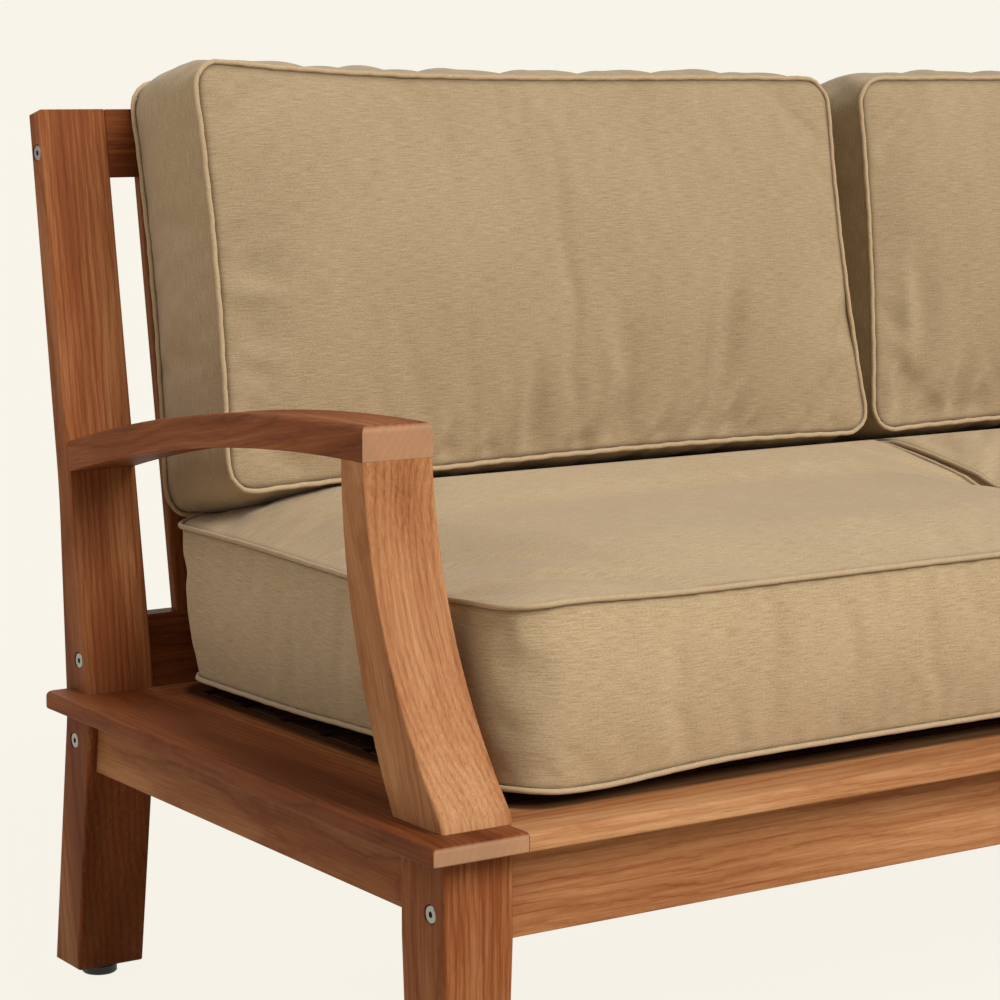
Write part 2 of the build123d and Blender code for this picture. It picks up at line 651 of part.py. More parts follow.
def seat_slat(front):
    depths = (front, front + SEAT_SLAT_WIDTH)
    slat = block((SLAT_END, -SLAT_END), depths, (DECK_UNDERSIDE, DECK_HEIGHT))
    top_edges = level_edges(slat, DECK_HEIGHT, lambda edge: edge.length > SEAT_SLAT_WIDTH)
    slat = fillet(top_edges, DECK_BOTTOM_ROUND)
    middle = front + SEAT_SLAT_WIDTH / 2
    return without(slat, [screw_hole(side, middle) for side in SCREW_SIDES])


def slat_cleat():
    depths = (LEG_BACK, KNEE_FRONT)
    cleat = block((APRON_INSIDE, CLEAT_INSIDE), depths, (DECK_UNDERSIDE - CLEAT_HEIGHT, DECK_UNDERSIDE))
    return without(cleat, screw_holes([CLEAT_SCREW_SIDE]))


# Armrests and their supports
def bowed(start, end, bow):
    """An arc between two points of a side view, bowed up and back from the straight line."""
    run = Vector(*end) - Vector(*start)
    across = Vector(-run.Y, run.X).normalized()
    if across.X + across.Y < 0:
        across = across * -1
    middle = (Vector(*start) + Vector(*end)) / 2 + across * bow
    return ThreePointArc(start, middle, end)


def armrest_outline():
    low_rear = ARM_REAR_HEIGHT - ARM_THICKNESS
    rear_top = (post_face(ARM_REAR_HEIGHT), ARM_REAR_HEIGHT)
    rear_bottom = (post_face(low_rear), low_rear)
    front_top = (FRONT + ARM_SETBACK, ARM_HEIGHT)
    front_bottom = (FRONT + ARM_SETBACK, ARM_UNDERSIDE)
    top = bowed(rear_top, front_top, ARM_BOW)
    bottom = bowed(rear_bottom, front_bottom, ARM_BOW)
    return top + Line(front_top, front_bottom) + bottom + Line(rear_bottom, rear_top)


ARM_BLANK = side_piece(armrest_outline(), LEG_OUTSIDE, ARM_WIDTH)


def armrest():
    arm = ARM_BLANK
    top_edges = arm.edges().filter_by(GeomType.CIRCLE).sort_by(Axis.Z)[-2:]
    front_edge = arm.edges().filter_by(Axis.X).group_by(Axis.Y)[0].sort_by(Axis.Z)[-1]
    arm = fillet([*top_edges, front_edge], ARM_TOP_ROUND)
    return without(arm, support_top_dowels(GLUE_GAP) + post_dowels(GLUE_GAP))


def support_outline():
    front = FRONT + SUPPORT_FOOT_SETBACK
    foot_top = (front + SUPPORT_FOOT_SLANT, DECK_HEIGHT + SUPPORT_FOOT_RISE)
    inside_arm = ARM_UNDERSIDE + ARM_THICKNESS / 2
    top_front = (FRONT + ARM_SETBACK, inside_arm)
    top_rear = (FRONT + ARM_SETBACK + SUPPORT_TOP_DEPTH, inside_arm)
    head_front = (top_front[0], ARM_UNDERSIDE)
    head_rear = (top_rear[0], ARM_UNDERSIDE)
    rear_foot = (front + SUPPORT_FOOT_DEPTH, DECK_HEIGHT)
    front_foot = (front, DECK_HEIGHT)
    outline = Line(front_foot, foot_top) + bowed(foot_top, head_front, SUPPORT_FRONT_BOW)
    outline = outline + Line(head_front, top_front) + Line(top_front, top_rear)
    outline = outline + Line(top_rear, head_rear) + bowed(head_rear, rear_foot, SUPPORT_REAR_BOW)
    return outline + Line(rear_foot, front_foot)


def arm_support():
    support = side_piece(support_outline(), LEG_OUTSIDE, ARM_WIDTH)
    instep = support.edges().filter_by(Axis.X).sort_by(Axis.Y)[1]
    support = fillet([instep], SUPPORT_FOOT_ROUND)
    bowed_edges = support.edges().filter_by(GeomType.CIRCLE)
    support = fillet(bowed_edges, SUPPORT_EDGE_ROUND) - ARM_BLANK
    return without(support, leg_dowels(GLUE_GAP) + support_top_dowels(GLUE_GAP))


# Back frame
def leaning_strip(low, high, front_offset, thickness):
    """The side view of a strip that follows the lean of the posts."""
    return Polyline(
        (post_face(low) + front_offset, low),
        (post_face(high) + front_offset, high),
        (post_face(high) + front_offset + thickness, high),
        (post_face(low) + front_offset + thickness, low),
        close=True,
    )


BACK_SLAT_GAP = (-POST_INSIDE * 2 - BACK_SLAT_COUNT * BACK_SLAT_WIDTH) / (BACK_SLAT_COUNT + 1)
BACK_SLAT_PITCH = BACK_SLAT_WIDTH + BACK_SLAT_GAP
BACK_SLAT_SIDES = [
    POST_INSIDE + BACK_SLAT_GAP + BACK_SLAT_PITCH * index for index in range(BACK_SLAT_COUNT)
]


def back_slat(side, gap=0):
    """An upright slat with its ends in both rails, or with a gap its mortises."""
    low = BOTTOM_RAIL_TOP - BACK_SLAT_TENON - gap
    high = TOP_RAIL_BOTTOM + BACK_SLAT_TENON + gap
    outline = leaning_strip(low, high, BACK_SLAT_RECESS - gap, BACK_SLAT_THICKNESS + gap * 2)
    return side_piece(outline, side - gap, BACK_SLAT_WIDTH + gap * 2)


def eased_back_slat(side):
    slat = back_slat(side)
    return fillet(slat.edges().sort_by(SortBy.LENGTH)[-4:], BACK_SLAT_ROUND)


def back_top_rail():
    outline = leaning_strip(TOP_RAIL_BOTTOM, BACK_HEIGHT, TOP_RAIL_RECESS, TOP_RAIL_THICKNESS)
    rail = side_piece(outline, POST_INSIDE, -POST_INSIDE * 2)
    rail = rail - above_post_top()
    rail = without(rail, [back_slat(side, GLUE_GAP) for side in BACK_SLAT_SIDES])
    return drilled_both_ends(rail, "top_rail")


def above_post_top():
    """What lies above the sloping top of the posts."""
    front_top = (POST_TOP_FRONT, BACK_HEIGHT)
    rear_top = (POST_TOP_FRONT + POST_TOP_THICKNESS, BACK_HEIGHT - POST_TOP_DROP)
    high = BACK_HEIGHT + OVERRUN
    outline = Polyline(front_top, rear_top, (rear_top[0], high), (front_top[0], high), close=True)
    return side_piece(outline, -HALF_WIDTH, WIDTH)


def back_bottom_rail():
    body = leaning_strip(DECK_HEIGHT, BOTTOM_RAIL_TOP, BOTTOM_RAIL_RECESS, BOTTOM_RAIL_THICKNESS)
    rail = side_piece(body, POST_INSIDE, -POST_INSIDE * 2)
    step_low = BOTTOM_RAIL_TOP - BOTTOM_RAIL_STEP_HEIGHT
    step_front = BOTTOM_RAIL_RECESS - OVERRUN
    step = leaning_strip(step_low, BOTTOM_RAIL_TOP + OVERRUN, step_front, OVERRUN + BOTTOM_RAIL_STEP)
    rail = rail - side_piece(step, POST_INSIDE - OVERRUN, (OVERRUN - POST_INSIDE) * 2)
    rail = without(rail, [back_slat(side, GLUE_GAP) for side in BACK_SLAT_SIDES])
    return drilled_both_ends(rail, "bottom_rail")


# Cushions, each modelled lying flat with its middle over the origin, the zip hidden:
# at the rear of a seat cushion and at the bottom of a back cushion
HALF_TURN = 180
SEAT_CUSHION = {
    "width": -SEAT_SPLIT_GAP / 2 + HALF_WIDTH - SEAT_CUSHION_SIDE,
    "depth": SEAT_CUSHION_BACK - SEAT_CUSHION_FRONT,
    "seams": (SEAT_BOTTOM_SEAM, SEAT_TOP_SEAM),
    "rest": DECK_HEIGHT + SOFT_GAP,
    "crown": SEAT_CROWN,
    "crown_shares": REARWARD_CROWN_SHARES,
    "height_shares": INWARD_HEIGHT_SHARES,
    "belly": SEAT_BELLY,
    "draw_in": SEAT_DRAW_IN,
    "corner_round": SEAT_CORNER_ROUND,
    "zip_turn": 0,
}
BACK_CUSHION = {
    "width": -BACK_SPLIT_GAP / 2 + HALF_WIDTH - BACK_CUSHION_SIDE,
    "depth": BACK_CUSHION_HEIGHT,
    "seams": (BACK_REAR_SEAM, BACK_REAR_SEAM + BACK_CUSHION_THICKNESS),
    "rest": 0,
    "crown": BACK_CROWN,
    "crown_shares": EVEN_CROWN_SHARES,
    "height_shares": EVEN_HEIGHT_SHARES,
    "belly": BACK_BELLY,
    "draw_in": BACK_DRAW_IN,
    "corner_round": BACK_CORNER_ROUND,
    "zip_turn": HALF_TURN,
}


def cushion_plan(sizes, inset=0):
    """The seam line seen from above: four sides drawn in between rounded corners."""
    x = sizes["width"] / 2 - inset
    y = sizes["depth"] / 2 - inset
    draw_in = sizes["draw_in"]
    corners = [(-x, -y), (x, -y), (x, y), (-x, y)]
    middles = [(0, draw_in - y), (x - draw_in, 0), (0, y - draw_in), (draw_in - x, 0)]
    sides = [
        ThreePointArc(corner, middle, next_corner)
        for corner, middle, next_corner in zip(corners, middles, corners[1:] + corners[:1])
    ]
    plan = make_face(Curve() + sides)
    return fillet(plan.vertices(), sizes["corner_round"] - inset)


def crown_section(x, depth, seams, crowns, belly):
    """An upright slice of the crowned form: straight sides, a full top and a full bottom."""
    low, high = seams
    y = depth / 2
    shoulder = y * SHOULDER_SHARE
    front, middle, rear = [high + crown for crown in crowns]
    top = ThreePointArc((shoulder, rear), (0, middle), (-shoulder, front))
    front_shoulder = TangentArc((-shoulder, front), (-y, high), tangent=top % 1)
    rear_shoulder = TangentArc((shoulder, rear), (y, high), tangent=(top % 0) * -1)
    bottom = ThreePointArc((-y, low), (0, low - belly), (y, low))
    sides = [Line((-y, high), (-y, low)), Line((y, low), (y, high))]
    outline = Curve() + [top, front_shoulder, rear_shoulder, bottom, *sides]
    return Plane(origin=(x, 0, 0), x_dir=BACKWARD, z_dir=ACROSS) * make_face(outline)


def cushion_form(sizes, inset=0):
    """A boxed cushion: crowned above, bellied below and flat where it rests."""
    width = sizes["width"]
    seams = grown(sizes["seams"], -inset)
    sections = [
        crown_section(
            width * (place - CENTRE_SHARE),
            sizes["depth"],
            seams,
            [sizes["crown"] * height * share for share in sizes["crown_shares"]],
            sizes["belly"] * level,
        )
        for place, height, level in zip(
            CROWN_STATION_SHARES, sizes["height_shares"], EVEN_HEIGHT_SHARES
        )
    ]
    bottom = sizes["rest"] + inset
    height = seams[1] + sizes["crown"] + OVERRUN - bottom
    column = Pos(0, 0, bottom) * extrude(cushion_plan(sizes, inset), amount=height, dir=Vector(*UP))
    return loft(sections) & column


def welt(sizes, seam):
    """The corded seam that runs around the cushion at one seam height."""
    face = Pos(0, 0, seam - WELT_HEIGHT / 2) * cushion_plan(sizes, -WELT_PROUD)
    band = extrude(face, amount=WELT_HEIGHT, dir=Vector(*UP))
    rims = band.edges().group_by(Axis.Z)
    return fillet(rims[0] + rims[-1], WELT_ROUND)


def cushion_zip(sizes):
    """A zip along one side of the boxing, halfway between the seams, with its pull."""
    middle = sum(sizes["seams"]) / 2
    half_length = sizes["width"] * ZIP_LENGTH_SHARE / 2
    column = Pos(0, 0, middle - ZIP_HEIGHT / 2)
    outer = column * cushion_plan(sizes, -GLUE_GAP - ZIP_THICKNESS)
    inner = column * cushion_plan(sizes, -GLUE_GAP)
    ring = extrude(outer - inner, amount=ZIP_HEIGHT, dir=Vector(*UP))
    reach = sizes["depth"]
    heights = (middle - ZIP_HEIGHT / 2, middle + ZIP_HEIGHT / 2)
    tape = ring & block((-half_length, half_length), (0, reach), heights)
    surface = tape.bounding_box().max.Y
    pull_sides = (half_length - ZIP_PULL_LENGTH, half_length)
    pull_heights = (middle - ZIP_PULL_WIDTH / 2, middle + ZIP_PULL_WIDTH / 2)
    pull = block(pull_sides, (surface - ZIP_THICKNESS, surface + ZIP_PULL_THICKNESS), pull_heights)
    return Rot(0, 0, sizes["zip_turn"]) * (tape + pull)


SEAT_CUSHION_PLACE = Pos(
    -(HALF_WIDTH - SEAT_CUSHION_SIDE + SEAT_SPLIT_GAP / 2) / 2,
    FRONT + (SEAT_CUSHION_FRONT + SEAT_CUSHION_BACK) / 2,
    0,
)
LEAN_COS = math.cos(math.radians(LEAN_ANGLE))
LEAN_SIN = math.sin(math.radians(LEAN_ANGLE))
BACK_CUSHION_MIDDLE = BACK_CUSHION_BOTTOM + BACK_CUSHION_HEIGHT / 2 * LEAN_COS
BACK_CUSHION_PLACE = Plane(
    origin=(
        -(HALF_WIDTH - BACK_CUSHION_SIDE + BACK_SPLIT_GAP / 2) / 2,
        post_face(BACK_CUSHION_MIDDLE) + TOP_RAIL_RECESS - SOFT_GAP / LEAN_COS,
        BACK_CUSHION_MIDDLE,
    ),
    x_dir=ACROSS,
    z_dir=(0, -LEAN_COS, LEAN_SIN),
)


def back_cushion_space(inset):
    """The space of the back cushions, that the seat cushions are pressed clear of."""
    half_height = BACK_CUSHION_HEIGHT / 2
    heights = (-half_height - WELT_PROUD - SOFT_GAP - inset, half_height)
    return [BACK_CUSHION_PLACE * block((-WIDTH, WIDTH), heights, (-DEPTH, DEPTH))]


def nothing(inset):
    return []


def cushion_parts(sizes, place, space_above):
    """The cover, the filling and the zip of a cushion in its place."""
    outside = cushion_form(sizes)
    for seam in sizes["seams"]:
        outside = outside + welt(sizes, seam)
    filling_inset = COVER_THICKNESS + FILLING_GAP
    outside = without(place * outside, space_above(0))
    inside = without(place * cushion_form(sizes, COVER_THICKNESS), space_above(COVER_THICKNESS))
    filling = without(place * cushion_form(sizes, filling_inset), space_above(filling_inset))
    return outside - inside, filling, place * cushion_zip(sizes)


# Every piece in a file of its own, fasteners of one kind together
save_pair(front_leg(), "front_leg")
save_pair(rear_post(), "rear_post")
save_pair(side_apron(), "side_apron")
save_pair(side_deck_board(), "side_deck_board")
save(front_deck_board(), "front_deck_board")
save(rear_deck_board(), "rear_deck_board")
save(apron(LEG_INSIDE, FRONT_APRON_FACE, "front_apron"), "front_apron")
save(apron(POST_INSIDE, REAR_APRON_FACE, "rear_apron"), "rear_apron")
save_pair(armrest(), "armrest")
save_pair(arm_support(), "arm_support")
save(back_top_rail(), "back_top_rail")
save(back_bottom_rail(), "back_bottom_rail")

half_count = BACK_SLAT_COUNT // 2
left_slats = [eased_back_slat(side) for side in BACK_SLAT_SIDES[:half_count]]
save_group(left_slats, "back_slats_left")
save_group([mirrored(slat) for slat in left_slats], "back_slats_right")

for number, slat_front in enumerate(SEAT_SLAT_FRONTS, start=1):
    save(seat_slat(slat_front), f"seat_slat_{number}")
for name, beam_side in BEAM_SIDES.items():
    save(seat_beam(beam_side), f"seat_beam_{name}")
save_pair(slat_cleat(), "slat_cleat")

for name, foot_place in FOOT_PLACES.items():
    save(foot_pad(*foot_place), f"foot_pad_{name}")
    save(foot_stem(*foot_place), f"foot_stem_{name}")
save_group([leg_insert(*foot_place) for foot_place in FOOT_PLACES.values()], "leg_inserts")


def both_sides(pieces):
    return pieces + [mirrored(piece) for piece in pieces]


save_group(both_sides([bolt(rail) for rail in BOLT_PLACES]), "frame_bolts")
save_group(both_sides([barrel_nut(rail) for rail in BOLT_PLACES]), "barrel_nuts")
save_group(both_sides([frame_dowel(rail) for rail in BOLT_PLACES]), "frame_dowels")
save_group(both_sides(leg_dowels() + support_top_dowels() + post_dowels()), "arm_dowels")
save_group([slat_screw(side, depth) for side in SCREW_SIDES for depth in SCREW_DEPTHS], "slat_screws")

seat_cover, seat_foam, seat_zip = cushion_parts(SEAT_CUSHION, SEAT_CUSHION_PLACE, back_cushion_space)
save_pair(seat_cover, "seat_cushion_cover")
save_pair(seat_foam, "seat_cushion_foam")
save_pair(seat_zip, "seat_cushion_zip")
back_cover, back_filling, back_zip = cushion_parts(BACK_CUSHION, BACK_CUSHION_PLACE, nothing)
save_pair(back_cover, "back_cushion_cover")
save_pair(back_filling, "back_cushion_filling")
save_pair(back_zip, "back_cushion_zip")
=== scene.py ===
# %% [markdown]
# # A patio loveseat with loose cushions
#
# The wooden frame arrives from CAD as finished solids, so this lesson only dresses it:
# wood, steel and plastic for the frame, and new soft cushions in place of the plain CAD ones.
# Everything is in metres, the front faces -Y, and +Z is up.

# %% Load the frame and note its box
import math
import bpy
from mathutils import Matrix, Vector


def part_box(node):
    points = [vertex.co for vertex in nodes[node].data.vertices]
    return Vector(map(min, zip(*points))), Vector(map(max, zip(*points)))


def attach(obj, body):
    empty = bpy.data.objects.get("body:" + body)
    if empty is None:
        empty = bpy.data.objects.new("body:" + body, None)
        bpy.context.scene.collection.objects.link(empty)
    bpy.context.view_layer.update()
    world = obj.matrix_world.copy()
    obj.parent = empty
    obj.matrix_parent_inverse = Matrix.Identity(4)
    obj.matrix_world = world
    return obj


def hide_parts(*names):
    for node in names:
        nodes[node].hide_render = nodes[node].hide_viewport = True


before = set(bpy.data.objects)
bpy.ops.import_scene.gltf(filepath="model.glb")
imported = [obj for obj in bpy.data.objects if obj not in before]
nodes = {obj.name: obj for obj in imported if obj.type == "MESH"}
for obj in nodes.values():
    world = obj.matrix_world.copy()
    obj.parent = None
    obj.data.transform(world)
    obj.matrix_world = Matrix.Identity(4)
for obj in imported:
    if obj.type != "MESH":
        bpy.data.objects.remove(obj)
scene = bpy.context.scene
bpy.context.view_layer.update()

# %% [markdown]
# ## The camera
#
# The photograph was taken from in front of the left end, a little above the cushions, with a long lens.
# The camera stands where the vanishing lines of the deck and the legs put it. Its place matters more than
# any other setting, because every outline in the picture follows from it.

# %% Camera
CAMERA_PLACE = (-2.0481, -2.2102, 0.8674)
CAMERA_TURN = 33.46
CAMERA_PITCH = 8.15
CAMERA_LENS = 105.55
CAMERA_SENSOR = 36.0


def put_in_scene(name, data):
    """Makes an object and links it into the scene."""
    thing = bpy.data.objects.new(name, data)
    scene.collection.objects.link(thing)
    return thing


camera_data = bpy.data.cameras.new("photo_camera")
camera_data.lens = CAMERA_LENS
camera_data.sensor_width = CAMERA_SENSOR
camera = put_in_scene("photo_camera", camera_data)
camera.location = CAMERA_PLACE
camera.rotation_euler = (math.radians(90 - CAMERA_PITCH), 0, math.radians(-CAMERA_TURN))
scene.camera = camera
print("camera", CAMERA_PLACE, "lens", CAMERA_LENS)

# %% [markdown]
# ## Node helpers
#
# Every finish here is a small network of shader nodes. One helper adds a node and joins its sockets. The
# others are the steps that the finishes share: noise stretched along the grain or the yarn, a value brought
# into another range, one colour laid over another, and a relief.

# %% Helpers for shader nodes
def new_material(name):
    material = bpy.data.materials.new(name)
    material.use_nodes = True
    material.node_tree.nodes.clear()
    return material


def add_node(owner, kind, inputs=None, **settings):
    """Adds a node to a material or a world: an input is a plain value or the socket that feeds it."""
    node = owner.node_tree.nodes.new("ShaderNode" + kind)
    for key, value in settings.items():
        setattr(node, key, value)
    for key, value in (inputs or {}).items():
        if isinstance(value, bpy.types.NodeSocket):
            owner.node_tree.links.new(value, node.inputs[key])
        else:
            node.inputs[key].default_value = value
    return node


def number_step(owner, operation, *values):
    """One step of arithmetic on numbers."""
    return add_node(owner, "Math", dict(enumerate(values)), operation=operation).outputs["Value"]


def vector_step(owner, operation, *values, result="Vector"):
    """One step of arithmetic on vectors; a length or a dot product comes out as a Value."""
    return add_node(owner, "VectorMath", dict(enumerate(values)), operation=operation).outputs[result]


print("network helpers ready")


# %% Helpers for patterns
NOISE_SPAN = (0.3, 0.7)


def noise(owner, place, fineness, detail, roughness=0.5, result="Fac", **settings):
    """Noise with its own fineness, in cells per metre, along each direction."""
    stretched = add_node(owner, "Mapping", {"Vector": place, "Scale": fineness})
    return add_node(owner, "TexNoise", {
        "Vector": stretched.outputs["Vector"], "Scale": 1.0, "Detail": detail, "Roughness": roughness,
    }, **settings).outputs[result]


def spread(owner, value, start, end, low, high):
    """Brings a value that runs from start to end into the range from low to high, and stops there."""
    return add_node(owner, "MapRange", {
        "Value": value, "From Min": start, "From Max": end, "To Min": low, "To Max": high,
    }).outputs["Result"]


def relief(owner, height, strength, distance, under=None):
    """The surface's direction tilted by a height pattern, over an earlier one, if any."""
    inputs = {"Height": height, "Strength": strength, "Distance": distance}
    if under is not None:
        inputs["Normal"] = under
    return add_node(owner, "Bump", inputs).outputs["Normal"]


def give_surface(material, inputs):
    """Ends a network with the surface that has these inputs."""
    surface = add_node(material, "BsdfPrincipled", inputs)
    add_node(material, "OutputMaterial", {"Surface": surface.outputs["BSDF"]})
    return material


print("most of a noise lies between", *NOISE_SPAN)


# %% Helpers for colours
def colour(red, green, blue):
    """A colour as a paint chip gives it, 0 to 255, turned into the linear values that nodes use."""
    def linear(value):
        value = value / 255
        return value / 12.92 if value <= 0.04045 else ((value + 0.055) / 1.055) ** 2.4
    return (linear(red), linear(green), linear(blue), 1.0)


def shade(tint, share):
    """The same tint, darker for a share under 1 and paler for one over it."""
    return tuple(value * share for value in tint[:3]) + (1.0,)


def lay_over(owner, share, under, over):
    """Lays one colour over another, by a share from 0 to 1."""
    mixed = add_node(owner, "Mix", {"Factor": share, "A": under, "B": over}, data_type="RGBA")
    return mixed.outputs["Result"]


def tinted(owner, value, tints):
    """Colours a value by a few tints, each at its own place between 0 and 1."""
    ramp = add_node(owner, "ValToRGB", {"Fac": value})
    stops = ramp.color_ramp.elements
    first, *between, last = tints.items()
    stops[0].position, stops[0].color = first
    stops[1].position, stops[1].color = last
    for position, tint in between:
        stops.new(position).color = tint
    return ramp.outputs["Color"]


print("a tan in linear light:", [round(value, 3) for value in colour(184, 160, 125)])

# %% [markdown]
# ## The wood
#
# Oiled hardwood shows three things at once: growth rings that are cut into long flames on a board's face and
# into arcs on its end, short dark pores that run with the grain, and slow changes of tone from board to
# board. A flat picture of grain would wrap wrongly round the corners. This wood is solid instead: rings round
# an axis that runs along each board, bent a little by noise, so that faces and ends agree with each other.
# Each board has its own offset in the log, so no two look alike.

# %% Colours and scales of the wood
WOOD_TONES = {
    0.04: colour(96, 46, 20),
    0.34: colour(138, 78, 42),
    0.62: colour(178, 123, 80),
    0.95: colour(212, 164, 118),
}
PORE_TINT = colour(104, 60, 36)
END_GRAIN = colour(206, 164, 128)
# The last colour is painted shade for the deck under the cushions, where they shadow it.
UNDER_CUSHION_SHADE = colour(34, 22, 16)

SWAY_FINENESS = (1.6, 7.0, 7.0)
SWAY_REACH = (0.0, 0.085, 0.085)
BAND_FINENESS = (2.0, 17.0, 17.0)
FIBRE_FINENESS = (14.0, 520.0, 520.0)
PORE_FINENESS = (45.0, 2100.0, 2100.0)
RING_SPACING = 0.0075
RINGS_AT_SCALE_ONE = 20 / math.tau
print("tones of the wood:", len(WOOD_TONES), "ring spacing:", RING_SPACING)


# %% Rings, bands and fibres
BAND_TONE = 0.2
FIBRE_TONE = 0.1
RING_TONE = 0.03
LATE_LINE_TONE = 0.06
LATE_LINE_SPAN = (0.0, 0.16)


def grain_turn(direction):
    """The turn that brings a board's own direction onto X, where the rings' axis lies."""
    return Vector(direction).rotation_difference(Vector((1, 0, 0))).to_euler()


def grain_value(material, in_log, fibre, tone, ring_spacing):
    """How pale the wood is, from 0 to 1: slow bands round the board's tone, with its rings and fibres."""
    sway = noise(material, in_log, SWAY_FINENESS, 3.0, result="Color")
    bent = vector_step(material, "MULTIPLY", sway, SWAY_REACH)
    rings = add_node(material, "TexWave", {
        "Vector": vector_step(material, "ADD", in_log, bent),
        "Scale": 1 / ring_spacing / RINGS_AT_SCALE_ONE,
        "Distortion": 1.6, "Detail": 2.0, "Detail Scale": 1.6, "Detail Roughness": 0.55,
    }, wave_type="RINGS", rings_direction="X", wave_profile="SIN").outputs["Fac"]
    bands = noise(material, in_log, BAND_FINENESS, 2.0)
    band_part = spread(material, bands, *NOISE_SPAN, tone - BAND_TONE, tone + BAND_TONE)
    fibre_part = spread(material, fibre, *NOISE_SPAN, -FIBRE_TONE, FIBRE_TONE)
    ring_part = spread(material, rings, 0.0, 1.0, -RING_TONE, RING_TONE)
    late_line = spread(material, rings, *LATE_LINE_SPAN, -LATE_LINE_TONE, 0.0)
    ring_lines = number_step(material, "ADD", ring_part, late_line)
    fine_lines = number_step(material, "ADD", ring_lines, fibre_part)
    return number_step(material, "ADD", fine_lines, band_part)


print("a band changes the tone by up to", BAND_TONE)


# %% End grain, and painted shade on the deck that the cushions cover
END_GRAIN_SPAN = (0.6, 0.95)
END_GRAIN_SHARE = 0.55
# Where the cushions cover the deck, its wood is darkened as painted shade, in a rounded box round their
# footprint.
SHADE_PATCH_MIDDLE = (0.0, -0.0285, 0.291)
SHADE_PATCH_CORE = (0.747, 0.255, 1.0)
SHADE_PATCH_CORNER = 0.045
SHADE_PATCH_SHARE = 0.8
SHADE_PATCH_EDGE = (SHADE_PATCH_CORNER - 0.006, SHADE_PATCH_CORNER + 0.002)


def end_grain_share(material, normal, direction):
    """How much of a face is end grain: none along the board, most on its sawn end."""
    facing = vector_step(material, "DOT_PRODUCT", normal, direction, result="Value")
    either_end = number_step(material, "ABSOLUTE", facing)
    return spread(material, either_end, *END_GRAIN_SPAN, 0.0, END_GRAIN_SHARE)


def painted_shade_share(material, place):
    """The deck under the cushions, darkened as painted shade where the cushions shadow it."""
    from_middle = vector_step(material, "SUBTRACT", place, SHADE_PATCH_MIDDLE)
    mirrored = vector_step(material, "ABSOLUTE", from_middle)
    beyond = vector_step(material, "SUBTRACT", mirrored, SHADE_PATCH_CORE)
    outside = vector_step(material, "MAXIMUM", beyond, (0.0, 0.0, 0.0))
    distance = vector_step(material, "LENGTH", outside, result="Value")
    return spread(material, distance, *SHADE_PATCH_EDGE, SHADE_PATCH_SHARE, 0.0)


print("covered deck reaches", round(SHADE_PATCH_CORE[0] + SHADE_PATCH_CORNER, 3), "m from the middle")


# %% Wood material
EDGE_RADIUS = 0.0012
PORE_SPAN = (0.58, 0.72)
PORE_SHARE = 0.4
WOOD_ROUGHNESS = (0.5, 0.64)


def wood(name, direction, log_offset, tone, ring_spacing=RING_SPACING, covered=False):
    """Hardwood whose grain runs along direction, cut from its own place in the log."""
    material = new_material(name)
    coordinate = add_node(material, "TexCoord")
    place = coordinate.outputs["Object"]
    in_log = add_node(material, "Mapping", {
        "Vector": place, "Rotation": grain_turn(direction), "Location": log_offset,
    }).outputs["Vector"]
    fibre = noise(material, in_log, FIBRE_FINENESS, 3.0, 0.6)
    pores = noise(material, in_log, PORE_FINENESS, 1.0)
    tint = tinted(material, grain_value(material, in_log, fibre, tone, ring_spacing), WOOD_TONES)
    tint = lay_over(material, spread(material, pores, *PORE_SPAN, 0.0, PORE_SHARE), tint, PORE_TINT)
    sawn_end = end_grain_share(material, coordinate.outputs["Normal"], direction)
    tint = lay_over(material, sawn_end, tint, END_GRAIN)
    # Painted shade on the deck where the cushions shadow it.
    if covered:
        tint = lay_over(material, painted_shade_share(material, place), tint, UNDER_CUSHION_SHADE)
    soft_edge = add_node(material, "Bevel", {"Radius": EDGE_RADIUS}, samples=4).outputs["Normal"]
    return give_surface(material, {
        "Base Color": tint,
        "Roughness": spread(material, fibre, *NOISE_SPAN, *WOOD_ROUGHNESS),
        "Specular IOR Level": 0.09,
        "Normal": relief(material, fibre, 0.22, 0.0006, soft_edge),
    })


print("edges look rounded by", EDGE_RADIUS * 1000, "mm")

# %% [markdown]
# ## Dressing the boards
#
# Each board is sawn along its length, so its grain runs that way: across for the rails, front to back for
# the side boards, and up the slope for the posts and back slats. One material would do for a far view, but
# close up every board needs its own grain. The table gives each kind of board its direction, and every
# board of that kind a tone, from 0, dark and red, to 1, pale.

# %% Grain directions and tones
ACROSS = (1, 0, 0)
DEEP = (0, 1, 0)
UPRIGHT = (0, 0, 1)
SLOPE = (0, 0.1526, 0.9883)
ARM_GRAIN = (0, 0.985, -0.17)
SUPPORT_GRAIN = (0, 0.34, 0.94)

BOARDS = (
    ("front_leg", UPRIGHT, (0.38, 0.4)),
    ("rear_post", SLOPE, (0.33, 0.34)),
    ("side_apron", DEEP, (0.46, 0.42)),
    ("side_deck_board", DEEP, (0.22, 0.34)),
    ("front_deck_board", ACROSS, (0.6,)),
    ("rear_deck_board", ACROSS, (0.34,)),
    ("front_apron", ACROSS, (0.54,)),
    ("rear_apron", ACROSS, (0.4,)),
    ("armrest", ARM_GRAIN, (0.3, 0.36)),
    ("arm_support", SUPPORT_GRAIN, (0.62, 0.56)),
    # The top rail's very dark tone is painted shade: the rail lies in the shadow between post and cushion.
    ("back_top_rail", ACROSS, (0.06,)),
    ("back_bottom_rail", ACROSS, (0.26,)),
    ("back_slats", SLOPE, (0.3, 0.34)),
    ("seat_beam", DEEP, (0.4, 0.36, 0.42)),
    ("slat_cleat", DEEP, (0.4, 0.38)),
    ("seat_slat", ACROSS, (0.34, 0.42, 0.38, 0.45, 0.35, 0.41, 0.38)),
)
